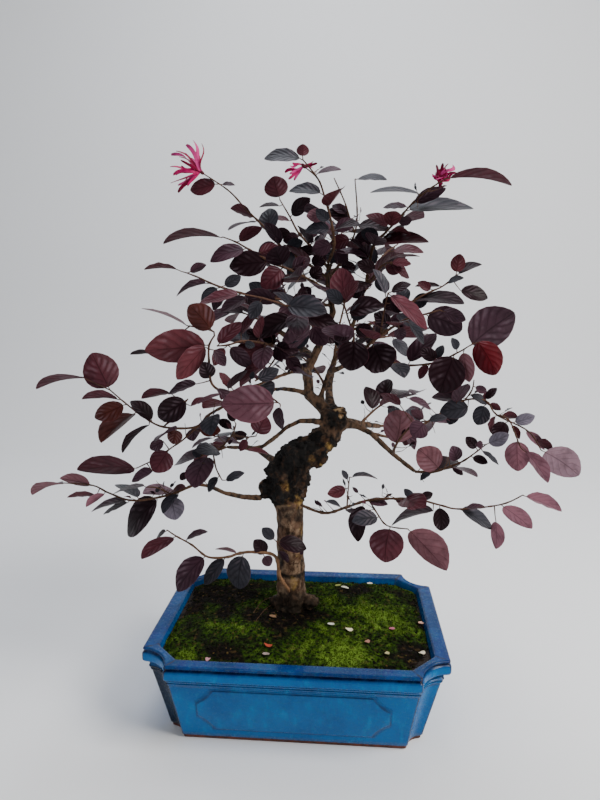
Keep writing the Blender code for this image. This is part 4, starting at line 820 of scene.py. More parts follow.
@dataclass(frozen=True)
class Glaze:
    """Blue glaze: darker where it pools and where shade is painted in the rim's channel, under the rim and
    around the panels, brown where it thins over an edge, and painted shade, dark grey-brown, on the left
    front flute.
    """

    sea: str = "005E9C"
    deep: str = "003A78"
    violet: str = "101C6A"
    thin: str = "2E2628"
    pool_and_shade: str = "071034"
    rim: str = "00265C"
    light: str = "0A86BC"
    shaded: str = "100C0A"
    teal: str = "14707C"
    roughness: float = 0.2

    def build(self) -> Material:
        """The material.

        Returns:
            The material.
        """
        s = Shader("blue_glaze")
        glaze = s.attribute("glaze")
        thin, pool_and_shade, lip = s.channels(glaze.outputs["Color"])
        clouds = s.noise(26, 5, rough=0.6)
        streaks = s.noise(160, 4, stretch=(1, 1, 0.3), rough=0.65)
        speckle = s.noise(1500, 2)
        body = s.mix(s.span(clouds, 0.42, 0.7, 0, 0.45), self.sea, self.deep)
        body = s.mix(s.span(streaks, 0.5, 0.74, 0, 0.42), body, self.light)
        rim = s.mix(s.span(s.noise(60, 3), 0.46, 0.66, 0, 0.75), self.rim, self.violet)
        body = s.mix(s.times(lip, s.span(clouds, 0.3, 0.6, 0.5, 0.9)), body, rim)
        body = s.mix(s.span(speckle, 0.52, 0.74, 0, 0.3), body, self.deep)
        body = s.mix(s.span(s.noise(600, 4, rough=0.7), 0.52, 0.7, 0, 0.4), body, self.teal)
        # Pooled glaze, which also paints shade in the rim's channel, under the rim and around the panels.
        body = s.mix(s.times(pool_and_shade, s.span(s.noise(120, 4), 0.3, 0.6, 0.45, 1)), body, self.pool_and_shade)
        worn = s.times(thin, s.span(s.noise(210, 4), 0.3, 0.62, 0.25, 1))
        body = s.mix(worn, body, self.thin)
        # Painted shade: the left front flute, marked by the glaze's alpha, is darkened towards a dark
        # grey-brown.
        shade = s.times(glaze.outputs["Alpha"], s.span(clouds, 0.3, 0.7, 0.88, 1))
        body = s.mix(shade, body, self.shaded)
        height = s.calc("ADD", s.times(streaks, 0.5), s.times(speckle, 0.2))
        rough = s.span(s.noise(300, 3), 0.35, 0.75, self.roughness, self.roughness + 0.14)
        return s.done(Base_Color=body, Roughness=rough, Normal=s.bump(height, 0.0006, 0.14),
                      Specular_IOR_Level=0.12, Coat_Weight=0.05, Coat_Roughness=0.05)


@dataclass(frozen=True)
class Grainy:
    """A plain grainy finish of two colours."""

    name: str
    base: str
    dark: str
    scale: float
    depth: float
    roughness: float

    def build(self) -> Material:
        """The material.

        Returns:
            The material.
        """
        s = Shader(self.name)
        grain = s.noise(self.scale, 5, rough=0.7)
        body = s.mix(s.span(s.noise(self.scale / 6, 3), 0.35, 0.7), self.base, self.dark)
        body = s.mix(s.span(grain, 0.5, 0.75, 0, 0.5), body, self.dark)
        return s.done(Base_Color=body, Roughness=self.roughness, Normal=s.bump(grain, self.depth, 0.6))


CLAY = Grainy("bare_clay", "6E3A2A", "3C221C", 900, 0.0004, 0.85)
EARTH = Grainy("damp_soil", "2A1E14", "0C0908", 700, 0.0015, 0.95)
PLASTIC = Grainy("black_plastic", "2B2A29", "161617", 800, 0.0002, 0.55)


@dataclass(frozen=True)
class Leafskin:
    """Satin leaf skin, quilted between sunk veins, with painted shade in the veins and painted gloss on
    patches of the bulges; the colour of each side is the leaf's own.
    """

    # Colours of the painted gloss and of the painted shade in the veins
    painted_gloss_hue: str = "76666E"
    vein_shade_hue: str = "6E6066"
    rim: str = "6A3A44"
    dusk: str = "160C10"
    pairs: float = 5.0
    slant: float = 0.42
    roughness: float = 0.36

    def build(self) -> Material:
        """The material.

        Returns:
            The material.
        """
        s = Shader("leaf_skin")
        tint = s.attribute("tint")
        where = s.add("ShaderNodeSeparateXYZ", {0: s.add("ShaderNodeUVMap", uv_map="leaf").outputs[0]})
        across = s.calc("ABSOLUTE", s.calc("SUBTRACT", where.outputs[0], 0.5, free=True))
        along = s.calc("MULTIPLY_ADD", across, -2 * self.slant, where.outputs[1])
        wander = s.calc("MULTIPLY_ADD", s.noise(170, 2), 0.08, along)
        wave = s.calc("COSINE", s.calc("MULTIPLY", wander, 2 * pi * self.pairs, free=True))
        side = s.times(s.span(wave, 0.80, 1.0), s.span(across, 0.36, 0.49, 1, 0))
        veins = s.calc("MAXIMUM", s.span(across, 0.008, 0.03, 1, 0), s.times(side, 0.5))
        quilt = s.times(s.span(wave, -1, 1, 1, 0), s.span(across, 0.01, 0.14))
        under = s.calc("SUBTRACT", 1.0, tint.outputs["Alpha"], free=True)
        patches = s.noise(120, 4, rough=0.6)
        body = s.mix(s.span(patches, 0.4, 0.72, 0, 0.4), tint.outputs["Color"], self.dusk)
        # Painted gloss: a pale lilac is screened over the leaf's colour on patches of the quilted bulges.
        painted_gloss_hue = s.mix(1.0, tint.outputs["Color"], self.painted_gloss_hue, "SCREEN")
        painted_gloss_share = s.times(quilt, s.span(s.noise(75, 2), 0.5, 0.66, 0.03, 0.28))
        body = s.mix(painted_gloss_share, body, painted_gloss_hue)
        # Painted shade: the sunk veins are darkened.
        vein_shade_hue = s.mix(1.0, tint.outputs["Color"], self.vein_shade_hue, "MULTIPLY")
        body = s.mix(s.times(veins, 0.5), body, vein_shade_hue)
        rim = s.mix(1.0, tint.outputs["Color"], self.rim, "SCREEN")
        body = s.mix(s.span(across, 0.465, 0.5, 0, 0.35), body, rim)
        raised = s.calc("ADD", s.times(quilt, 0.4), s.times(patches, 0.5))
        height = s.calc("SUBTRACT", raised, s.times(veins, 0.25))
        rough = s.span(under, 0, 1, self.roughness, self.roughness + 0.2)
        return s.done(Base_Color=body, Roughness=rough, Normal=s.bump(height, 0.0008, 0.4),
                      Specular_IOR_Level=s.span(under, 0, 1, 0.07, 0.10))


@dataclass(frozen=True)
class Twigskin:
    """Thin brown bark of the twigs and leaf stalks, darker with youth, and tan where youth is below 0."""

    old: str = "604634"
    young: str = "54382C"
    dark: str = "20140F"
    tan: str = "9C7454"

    def build(self) -> Material:
        """The material.

        Returns:
            The material.
        """
        s = Shader("twig_bark")
        youth = s.attribute("youth").outputs["Fac"]
        grain = s.noise(700, 4, stretch=(1, 1, 0.5), rough=0.65)
        body = s.mix(s.span(youth, 0, 1), self.old, self.young)
        body = s.mix(s.span(youth, -0.5, 0, 1, 0), body, self.tan)
        body = s.mix(s.span(grain, 0.42, 0.7, 0, 0.8), body, self.dark)
        body = s.mix(s.span(s.cells(900), 0.05, 0.16, 0.3, 0), body, self.tan)
        return s.done(Base_Color=body, Roughness=0.8, Specular_IOR_Level=0.2,
                      Normal=s.bump(grain, 0.0005, 0.6))


@dataclass(frozen=True)
class Bark:
    """Tan trunk bark with dark rings, the black crust of the burl, and the pale cut wood."""

    tan: str = "745642"
    pale: str = "A2866A"
    brown: str = "3E2A1C"
    dark: str = "140F0C"
    crust: str = "0F0C0A"
    ochre: str = "553820"
    straw: str = "B8924E"
    heart: str = "A88C68"
    limb: str = "5A4230"
    foot: str = "241C12"
    pit: str = "080605"
    grain: str = "8A6440"

    def build(self) -> Material:
        """The material.

        Returns:
            The material.
        """
        s = Shader("trunk_bark")
        bark, wear = s.attribute("bark"), s.attribute("wear")
        burl, ring, limb = s.channels(bark.outputs["Color"])
        cut, foot, pit = s.channels(wear.outputs["Color"])
        fine = s.noise(900, 6, rough=0.7)
        blotch = s.noise(85, 5, rough=0.62, warp=0.6)
        mottle = s.noise(190, 5, rough=0.7)
        body = s.mix(s.span(blotch, 0.36, 0.6), self.pale, self.tan)
        body = s.mix(s.span(s.noise(140, 5, stretch=(1, 1, 0.55), rough=0.7), 0.46, 0.62), body, self.brown)
        body = s.mix(s.span(s.cells(420), 0.10, 0.26, 0.8, 0), body, self.dark)
        body = s.mix(s.times(ring, s.span(mottle, 0.3, 0.6, 0.45, 1)), body, self.dark)
        branch = s.mix(s.span(s.noise(260, 4, stretch=(1, 1, 0.6)), 0.42, 0.62), self.limb, self.dark)
        body = s.mix(s.times(limb, 0.92), body, branch)
        warm = s.mix(s.span(mottle, 0.4, 0.62), self.ochre, self.brown)
        body = s.mix(bark.outputs["Alpha"], body, warm)
        crust = s.mix(s.span(mottle, 0.5, 0.7, 0, 0.7), self.crust, self.brown)
        body = s.mix(burl, body, crust)
        body = s.mix(pit, body, self.pit)
        body = s.mix(s.times(foot, s.span(s.noise(240, 4), 0.34, 0.6, 0.7, 1)), body, self.foot)
        worn = s.times(wear.outputs["Alpha"], s.span(mottle, 0.36, 0.56, 1, 0.35))
        body = s.mix(worn, body, s.mix(s.span(blotch, 0.4, 0.6), self.straw, self.ochre))
        wood = s.mix(s.span(s.noise(500, 4, stretch=(1, 0.2, 1)), 0.4, 0.65), self.heart, self.grain)
        body = s.mix(cut, body, wood)
        body = s.mix(s.span(fine, 0.48, 0.8, 0, 0.5), body, self.dark)
        height = s.calc("ADD", s.times(fine, 0.5), s.times(blotch, 0.5))
        return s.done(Base_Color=body, Roughness=s.span(blotch, 0.3, 0.7, 0.68, 0.92),
                      Specular_IOR_Level=0.25, Normal=s.bump(height, 0.0012, 0.8))


@dataclass(frozen=True)
class Moss:
    """Moss and damp soil; the mesh says how mossy, how bright and how dry each place is, the brightness
    being partly fresher moss and partly painted light on clumps and tuft tips.
    """

    bright: str = "749434"
    green: str = "34500F"
    shade: str = "0E1606"
    soil: str = "0C0908"
    litter: str = "30231A"
    straw: str = "7A6238"

    def build(self) -> Material:
        """The material.

        Returns:
            The material.
        """
        s = Shader("moss")
        mossy, light, dry = s.channels(s.attribute("moss").outputs["Color"])
        grain = s.noise(1100, 5, rough=0.75)
        green = s.mix(s.span(s.noise(420, 4), 0.38, 0.68), self.shade, self.green)
        # Painted light: lit clumps and tuft tips are mixed towards the bright green, which also marks
        # fresher moss.
        green = s.mix(s.times(light, s.span(grain, 0.3, 0.6)), green, self.bright)
        earth = s.mix(s.span(s.noise(260, 5, rough=0.7), 0.48, 0.66, 0, 0.7), self.soil, self.litter)
        body = s.mix(mossy, earth, green)
        body = s.mix(s.times(dry, 0.8), body, self.straw)
        return s.done(Base_Color=body, Roughness=0.95, Specular_IOR_Level=0.1,
                      Normal=s.bump(grain, 0.0014, 0.9))


@dataclass(frozen=True)
class Petal:
    """Strap petals with paler and deeper streaks over the colour that the mesh gives each place."""

    deep: str = "5C0024"
    pale: str = "F0B0CC"

    def build(self) -> Material:
        """The material.

        Returns:
            The material.
        """
        s = Shader("petal_skin")
        tint = s.attribute("tint")
        streak = s.noise(900, 3, rough=0.6)
        body = s.mix(s.span(streak, 0.5, 0.75, 0, 0.06), tint.outputs["Color"], self.pale)
        deep = s.times(tint.outputs["Alpha"], s.span(s.noise(300, 2), 0.5, 0.7, 0, 0.4))
        body = s.mix(deep, body, self.deep)
        return s.done(Base_Color=body, Roughness=0.6, Normal=s.bump(streak, 0.0003, 0.5),
                      Specular_IOR_Level=0.15)


def as_object(name: str, body: BMesh) -> Object:
    """Makes an object of the scene from a bmesh, which is freed.

    Args:
        name: The object's name.
        body: Its shape, in metres.

    Returns:
        The object.
    """
    mesh = bpy.data.meshes.new(name)
    body.to_mesh(mesh)
    body.free()
    item = bpy.data.objects.new(name, mesh)
    bpy.context.scene.collection.objects.link(item)
    return item


def as_piece(name: str, body: BMesh, finishes: Iterable[Material], crease: float) -> Object:
    """Makes a smooth-shaded piece from a bmesh, which is freed, and lets it ride on the object's body.

    Args:
        name: The piece's name.
        body: The shape, in metres.
        finishes: Its materials, in slot order.
        crease: Edges that turn by more than this many degrees stay sharp.

    Returns:
        The piece.
    """
    item = as_object(name, body)
    for finish in finishes:
        item.data.materials.append(finish)
    item.data.shade_smooth()
    item.data.set_sharp_from_angle(angle=radians(crease))
    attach(item, "root")
    LOG.info("%s: %d faces", name, len(item.data.polygons))
    return item


def dress_node(name: str, finish: Material) -> None:
    """Gives a node that stays its finish.

    Args:
        name: The node's name.
        finish: Its material.
    """
    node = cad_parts[name]
    node.data.materials.clear()
    node.data.materials.append(finish)
    LOG.info("%s keeps its solid", name)


def tinted(faces: Iterable[BMFace], layer: BMLayerItem, colour: Row) -> None:
    """Gives every corner of the faces a colour.

    Args:
        faces: The faces.
        layer: The mesh's colour layer for corners.
        colour: Linear red, green and blue, and a fourth value that the finish reads.
    """
    for face in faces:
        for loop in face.loops:
            loop[layer] = colour


def lofted(body: BMesh, rows: Sequence[Line]) -> list[list[BMVert]]:
    """Extrudes a closed ring through rows of places in millimetres.

    Args:
        body: The mesh that the skin is added to.
        rows: The places of each ring, all with the same number of points.

    Returns:
        The vertices of each ring.
    """
    ring = [body.verts.new(point * MM) for point in rows[0]]
    for i in range(len(ring)):
        body.edges.new((ring[i - 1], ring[i]))
    rings = [ring]
    for row in rows[1:]:
        edges = [body.edges.get((ring[i - 1], ring[i])) for i in range(len(ring))]
        grown = bmesh.ops.extrude_edge_only(body, edges=edges)["geom"]
        fresh = {part for part in grown if isinstance(part, BMVert)}
        ring = [next(edge.other_vert(vert) for edge in vert.link_edges if edge.other_vert(vert) in fresh)
                for vert in ring]
        for vert, point in zip(ring, row):
            vert.co = point * MM
        rings.append(ring)
    return rings


def solid(body: BMesh, rows: Sequence[Line]) -> list[list[BMVert]]:
    """Lofts a skin through the rows, fills both its ends, turns it outwards and gives its rings.

    Args:
        body: The mesh that it is added to.
        rows: The places of each ring, in millimetres.

    Returns:
        The vertices of each ring.
    """
    rings = lofted(body, rows)
    faces = {face for ring in rings for vert in ring for face in vert.link_faces}
    for ring in (rings[0], rings[-1]):
        faces.update(bmesh.ops.contextual_create(body, geom=ring)["faces"])
    bmesh.ops.recalc_face_normals(body, faces=list(faces))
    return rings


@dataclass
class Pot:
    """The glazed pot: a scooped-corner box with a grooved rim and a raised panel front and back."""

    length: float = 250.0
    width: float = 177.0
    height: float = 76.0
    rim_width: float = 13.0
    rim_face: float = 11.0
    rim_step: float = 5.5
    rim_scoop: float = 25.0
    foot_length: float = 209.0
    foot_width: float = 136.0
    foot_scoop: float = 13.0
    wall: float = 8.0
    floor: float = 9.0
    inner_cut: float = 19.5
    floor_cut: float = 9.0
    drain_radius: float = 8.0
    drain_spacing: float = 60.0
    cusp: float = 1.9
    hollow: float = 1.0
    scoop_steps: int = 10
    clay_top: float = 2.6
    panel_length: float = 154.0
    panel_low: float = 12.0
    panel_high: float = 52.5
    panel_scoop: float = 14.0
    panel_steps: int = 9
    panel_hollow: float = 0.35
    relief: float = 0.9
    flute_top: float = 61.0
    crease: float = 50.0

    def corner(self, scoop: float, hollow: float) -> list[Vector]:
        """One corner's points with rounded cusps, each as its distances from the two sides.

        Args:
            scoop: How far along each side the corner is scooped out.
            hollow: 1 for a round scoop, 0 for a straight cut.

        Returns:
            The points.
        """
        start = [(Vector((scoop + self.cusp + 3, 0)), Vector((scoop + self.cusp + 3, 0)))]
        for share, degrees in ((1.0, 270), (0.6, 240), (0.25, 210)):
            angle = radians(degrees)
            turned = Vector((scoop, 0)) + self.cusp * Vector((1 + cos(angle), 1 + sin(angle)))
            start.append((Vector((scoop + self.cusp * share, 0.05 * (1 - share) * self.cusp)), turned))
        first = asin(self.cusp / scoop)
        middle = []
        for k in range(self.scoop_steps + 1):
            share = k / self.scoop_steps
            angle = first + (pi / 2 - 2 * first) * share
            straight = Vector((scoop, 0)).lerp(Vector((0, scoop)), 0.04 + 0.92 * share)
            middle.append((straight, scoop * Vector((cos(angle), sin(angle)))))
        end = [(flat.yx, turned.yx) for flat, turned in reversed(start)]
        return [flat.lerp(turned, hollow) for flat, turned in start + middle + end]

    def outline(self, length: float, width: float, scoop: float, height: float,
                hollow: float) -> list[Vector]:
        """A rectangle with its corners scooped out, anticlockwise from above, at one height.

        Args:
            length: Its size from left to right.
            width: Its size from front to back.
            scoop: How far along each side a corner is scooped out.
            height: Its height.
            hollow: 1 for round scoops, 0 for straight cuts.

        Returns:
            The points.
        """
        quarter = self.corner(scoop, hollow)
        points = []
        for side_x, side_y in ((1, -1), (1, 1), (-1, 1), (-1, -1)):
            turned = quarter if side_x * side_y < 0 else reversed(quarter)
            points += [Vector((side_x * (length / 2 - a), side_y * (width / 2 - b), height))
                       for a, b in turned]
        return points

    def wall_size(self, height: float, inset: float = 0.0) -> Spot:
        """Length, width and scoop of the tapering wall at a height, smaller all round by the inset.

        Args:
            height: The height.
            inset: How much smaller it is.

        Returns:
            Its length, width and scoop.
        """
        share = height / (self.height - self.rim_face)
        step = self.rim_step
        top = (self.length - 2 * step, self.width - 2 * step, self.rim_scoop - step)
        foot = (self.foot_length, self.foot_width, self.foot_scoop)
        length, width, scoop = (a + (b - a) * share for a, b in zip(foot, top))
        return length - 2 * inset, width - 2 * inset, scoop - 0.3 * inset

    def inner_size(self, height: float, spare: float = 0.0) -> Spot:
        """Length, width and corner cut of the inside at a height, smaller all round by the spare.

        Args:
            height: The height.
            spare: How much smaller it is.

        Returns:
            Its length, width and corner cut.
        """
        share = (height - self.floor) / (self.height - self.floor)
        low = (self.foot_length - 2 * self.wall, self.foot_width - 2 * self.wall, self.floor_cut)
        rim = (self.length - 2 * self.rim_width, self.width - 2 * self.rim_width, self.inner_cut)
        length, width, cut = (a + (b - a) * share for a, b in zip(low, rim))
        return length - 2 * spare, width - 2 * spare, cut

    def rows(self) -> list[tuple[list[Vector], float, float]]:
        """The outlines from the underside up the outside, over the rim and down the inside.

        Returns:
            For each row its outline, how thin the glaze is there, and how much it is darkened as pooled
            glaze, which in the rim's channel and under the rim is also painted shade.
        """
        # The last column darkens pooled glaze; just under the rim it is also painted shade.
        walls = [(2.0, 9, 0, 0, 0), (0.3, 7.5, 0, 0, 0), (0.0, 6.5, 0, 0, 0), (0.0, 1.2, 0, 0, 0),
                 (0.5, 0.5, 0, 0, 0), (self.clay_top, 0.35, 0, 0, 0), (3.0, 0, 0, 1, 0),
                 (4.0, -0.1, 1, 0.3, 0.1), (8.0, 0, 1, 0, 0), (30.0, 0, 1, 0, 0), (53.6, 0, 1, 0, 0),
                 (55.8, 0.1, 1, 0.1, 0.4), (56.5, -0.6, 1, 0.3, 0), (57.7, -0.8, 1, 0.25, 0),
                 (58.4, -0.2, 1, 0.1, 0.4), (59.2, -0.9, 1, 0.3, 0.1), (60.4, -1.1, 1, 0.2, 0),
                 (61.2, 0.0, 1, 0, 0.6)]
        made = []
        for height, inset, spread, thin, pool_and_shade in walls:
            size = self.wall_size(height if spread else 0, inset)
            made.append((self.outline(*size, height, self.hollow), thin, pool_and_shade))
        low = self.height - self.rim_face
        # In the rim's channel and on its underside the last column is also painted shade.
        rim = [(4.6, -2.2, 0, 0.5), (2.6, -1.6, 0, 0.2), (0.9, -0.9, 0.35, 0), (0.2, 0.0, 0.1, 0),
               (0, 1.4, 0, 0), (0, 3.5, 0, 0), (0.1, 5.6, 0, 0), (0.5, 6.4, 0.1, 0.2), (1.6, 6.9, 0, 0.9),
               (2.3, 7.6, 0, 1), (2.2, 8.4, 0.3, 0.8), (1.4, 9.0, 0.6, 0.4), (0.8, 9.5, 0.5, 0),
               (0.9, 10.1, 0.3, 0), (1.3, 10.6, 0.5, 0), (2.2, 10.95, 0.1, 0), (4.6, 10.8, 0, 0),
               (8.6, 10.5, 0, 0), (10.9, 10.7, 0.1, 0), (12.1, 10.5, 0.45, 0), (12.9, 9.7, 0.2, 0)]
        for inset, rise, thin, pool_and_shade in rim:
            share = inset / self.rim_width
            scoop = self.rim_scoop + (self.inner_cut - self.rim_scoop) * share
            hollow = self.hollow * (1 - fade(share, 0.15, 0.8))
            size = (self.length - 2 * inset, self.width - 2 * inset, scoop)
            made.append((self.outline(*size, low + rise, hollow), thin, pool_and_shade))
        for height in (72.0, 55.0, self.floor + 3):
            made.append((self.outline(*self.inner_size(height), height, 0), 0, 0))
        made.append((self.outline(*self.inner_size(self.floor, 3.0), self.floor, 0), 0, 0))
        return made

    def shell(self) -> BMesh:
        """The pot's closed skin, with how thin, pooled and high the glaze is at each vertex, where shade is
        painted in the rim's channel and under the rim, and where painted shade darkens the left front flute.

        Returns:
            The skin, without its drain holes.
        """
        body = bmesh.new()
        glaze = body.verts.layers.float_color.new("glaze")
        rows = self.rows()
        rings = solid(body, [outline for outline, _, _ in rows])
        corner = len(rings[0]) // 4
        for ring, (outline, thin, pool_and_shade) in zip(rings, rows):
            height = outline[0].z
            lip = fade(height, self.height - self.rim_face + 3, self.height - 2)
            for i, vert in enumerate(ring):
                place = min(i % corner, corner - 1 - i % corner)
                edge = 0.8 if place in (2, 3) and height > self.clay_top else 0.0
                # Painted shade: an alpha of 1 marks the left front flute to be darkened.
                left_front = i // corner == 3 and place >= 3 and self.clay_top < height < self.flute_top
                vert[glaze] = (max(thin, edge), pool_and_shade, lip, 1 if left_front else 0)
        for face in body.faces:
            face.material_index = int(max(vert.co.z for vert in face.verts) < (self.clay_top + 0.1) * MM)
        return body

    def add_panel(self, body: BMesh, side: int) -> None:
        """Adds the raised panel on the front (side -1) or the back (side 1), leaning with the wall.

        Args:
            body: The mesh that it is added to.
            side: -1 for the front, 1 for the back.
        """
        glaze = body.verts.layers.float_color["glaze"]
        rows = []
        steps = ((-3.0, -1.4), (0.15, -1.4), (0.15, -0.1), (0.5, 0.12), (0.8, 0.5), (self.relief, 1.1))
        for rise, ease in steps:
            scoop = self.panel_scoop + min(0, ease)
            row = []
            for side_x, side_z, start in ((1, 1, 270), (-1, 1, 0), (-1, -1, 90), (1, -1, 180)):
                middle_x = side_x * (self.panel_length / 2 - ease)
                middle_z = self.panel_high - ease if side_z > 0 else self.panel_low + ease
                first, last = (Vector((cos(turn), sin(turn)))
                               for turn in (radians(start), radians(start - 90)))
                for k in range(self.panel_steps + 1):
                    share = k / self.panel_steps
                    turned = first.slerp(last, share) if 0 < share < 1 else first.lerp(last, share)
                    spot = first.lerp(last, share).lerp(turned, self.panel_hollow) * scoop
                    x, z = middle_x + spot.x, middle_z + spot.y
                    row.append(Vector((x, side * (self.wall_size(z)[1] / 2 + rise), z)))
            rows.append(row)
        rings = solid(body, rows)
        # The second value darkens the glaze around the panel, as pooled glaze and as painted shade where the
        # panel meets the wall.
        glazing = ((0, 0), (0, 0.2), (0.1, 0.6), (0.3, 0.45), (0.35, 0), (0.1, 0))
        for ring, (thin, pool_and_shade) in zip(rings, glazing):
            for vert in ring:
                vert[glaze] = (thin, pool_and_shade, 0, 0)

    def bore(self, pot: Object) -> None:
        """Bores the two drain holes through the floor.

        Args:
            pot: The pot's piece.
        """
        drills = bmesh.new()
        for side in (-1, 1):
            place = Matrix.Translation(Vector((side * self.drain_spacing, 0, self.floor / 2)) * MM)
            bmesh.ops.create_cone(drills, cap_ends=True, segments=40, radius1=self.drain_radius * MM,
                                  radius2=self.drain_radius * MM, depth=3 * self.floor * MM, matrix=place)
        drill = as_object("drill", drills)
        cut = pot.modifiers.new("Drain", "BOOLEAN")
        cut.object = drill
        cut.operation = "DIFFERENCE"
        bored = bpy.data.meshes.new_from_object(pot.evaluated_get(bpy.context.evaluated_depsgraph_get()))
        pot.modifiers.clear()
        pot.data = bored
        bpy.data.objects.remove(drill)

    def build(self) -> None:
        """Builds and dresses the pot with its panels."""
        finishes = (Glaze().build(), CLAY.build())
        pot = as_piece("glazed_pot", self.shell(), finishes, self.crease)
        self.bore(pot)
        panels = bmesh.new()
        panels.verts.layers.float_color.new("glaze")
        for side in (-1, 1):
            self.add_panel(panels, side)
        raised = as_piece("pot_panels", panels, finishes[:1], self.crease)
        for item in (pot, raised):
            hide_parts("pot")


@dataclass
class Ground:
    """What fills the pot: the soil with its moss, crumbs, fallen petals and roots, and the screens.

    A patch is a place on the page with its reach in millimetres and how much greener it is; a chip is
    a fallen petal's place on the page with its turn and colour.
    """

    pot: Pot
    foot: Vector = on_page(292, 606, 0)
    trunk_radius: float = 16.0
    edge: float = 70.0
    mound: float = 7.0
    about: float = 5.0
    crease: float = 70.0
    petal_long: Pair = (5.4, 8.0)
    petal_wide: Pair = (3.6, 5.4)
    petal_thick: float = 0.35
    around: int = 360
    rings: int = 84
    tufts: int = 15000
    tuft_radius: Pair = (0.35, 0.75)
    tuft_tall: Pair = (0.9, 2.3)
    crumbs: int = 2600
    crumb_radius: Pair = (0.5, 1.5)
    straw_share: float = 0.08
    seed: int = 23
    patches: tuple[tuple[float, float, float, float], ...] = (
        (332, 602, 12, 0.5), (350, 616, 17, 0.5), (386, 622, 20, 0.45), (408, 631, 12, 0.4),
        (346, 656, 18, 0.8), (372, 609, 14, 0.3), (214, 626, 9, 0.5), (190, 651, 13, 0.55),
        (172, 636, 10, 0.35), (318, 640, 18, 0.3), (250, 640, 22, 0.12), (204, 594, 32, -0.6),
        (248, 590, 22, -0.45), (282, 622, 22, -0.35), (226, 645, 16, -0.2), (360, 588, 14, -0.45),
        (425, 652, 16, -0.6), (432, 618, 13, -0.6), (400, 655, 12, -0.25), (322, 618, 9, -0.3),
        (298, 612, 22, -0.55), (400, 640, 12, -0.3))
    chips: tuple[tuple[float, float, float, str], ...] = (
        (349, 633, 0.4, "F0E4C0"), (392, 630, 1.7, "C46A80"), (422, 650, 2.2, "E8DCC0"),
        (421, 620, 0.9, "D8A890"), (377, 577, 1.4, "E4DCC4"), (370, 583, 2.0, "E0D6BE"),
        (345, 587, 0.2, "DCD8C0"), (268, 647, 0.1, "A8442E"), (266, 654, 2.5, "A8948A"),
        (208, 657, 1.5, "C48C94"), (331, 629, 0.6, "D8D8C8"), (367, 644, 1.0, "A87868"),
        (387, 653, 1.2, "B8B080"), (338, 586, 2.7, "9AA050"), (273, 620, 0.3, "8A6C50"))
    roots: tuple[tuple[Pair, ...], ...] = (
        ((281, 600), (272, 606), (264, 612), (256, 622)), ((270, 600), (262, 604), (253, 614)),
        ((310, 602), (318, 604), (324, 610)), ((286, 606), (280, 612), (270, 616)))

    def __post_init__(self) -> None:
        """Finds where the patches lie on the ground."""
        self.spread = [(*on_level(*row[:2], self.edge + self.about).xy, *row[2:]) for row in self.patches]

    def height(self, x: float, y: float) -> float:
        """Height of the mounded soil.

        Args:
            x: The place's x in millimetres.
            y: Its y.

        Returns:
            The height in millimetres.
        """
        length, width, _ = self.pot.inner_size(self.edge)
        rise = max(0, 1 - (2 * x / length) ** 2) * max(0, 1 - (2 * y / width) ** 2)
        return self.edge + self.mound * rise

    def mossy(self, x: float, y: float) -> float:
        """How mossy a place is, from 0 on bare soil to about 1.5 where it's brightest.

        Args:
            x: The place's x in millimetres.
            y: Its y.

        Returns:
            How mossy it is.
        """
        cloud = noise.fractal(Vector((x / 20, y / 20, 1.7)), 0.9, 2.0, 5)
        amount = 0.52 + 0.1 * fade(x, -40, 40) + 0.5 * cloud
        for px, py, reach, change in self.spread:
            amount += change * (1 - fade(hypot(x - px, y - py), 0.3 * reach, 1.5 * reach))
        return max(0.0, amount)

    def moss_height(self, x: float, y: float) -> float:
        """Height of the moss bed's top.

        Args:
            x: The place's x in millimetres.
            y: Its y.

        Returns:
            The height in millimetres.
        """
        lumps = noise.fractal(Vector((x / 9, y / 9, 4.1)), 0.9, 2.0, 4)
        crumb = noise.fractal(Vector((x / 2.2, y / 2.2, 9.3)), 0.8, 2.0, 3)
        mossy = min(1, self.mossy(x, y))
        return self.height(x, y) + 0.7 + 1.3 * mossy + 0.9 * lumps + (0.85 - 0.3 * mossy) * crumb

    def outline(self, spare: float) -> list[Vector]:
        """The pot's inner edge at the soil's rim, as evenly spaced points.

        Args:
            spare: How far inside the edge it runs.

        Returns:
            The points.
        """
        line = self.pot.outline(*self.pot.inner_size(self.edge, spare), 0, 0)
        line.append(line[0])
        runs = [(b - a).length for a, b in zip(line, line[1:])]
        marks = np.concatenate([[0], np.cumsum(runs)])
        places = np.linspace(0, marks[-1], self.around, endpoint=False)
        return [Vector((float(np.interp(p, marks, [v.x for v in line])),
                        float(np.interp(p, marks, [v.y for v in line])), 0)) for p in places]

    def dress(self, x: float, y: float) -> tuple[float, float, float, float]:
        """How mossy, how bright and how dry a place is, as a colour; the brightness is partly fresher moss
        and partly painted light on the clumps.

        Args:
            x: The place's x in millimetres.
            y: Its y.

        Returns:
            The three shares, and a fourth value of 1.
        """
        mossy = self.mossy(x, y)
        # Clumps come out brighter: partly fresher moss, partly painted light.
        clump = noise.noise(Vector((x / 5, y / 5, 7.7))) + 0.8 * noise.noise(Vector((x / 2.2, y / 2.2, 2.9)))
        light = fade(mossy + 0.4 * clump, 0.6, 1.4)
        dry = 0.35 * fade(noise.noise(Vector((x / 4, y / 4, 3.1))), 0.3, 0.6)
        return fade(mossy, 0.15, 0.6), light, dry, 1.0

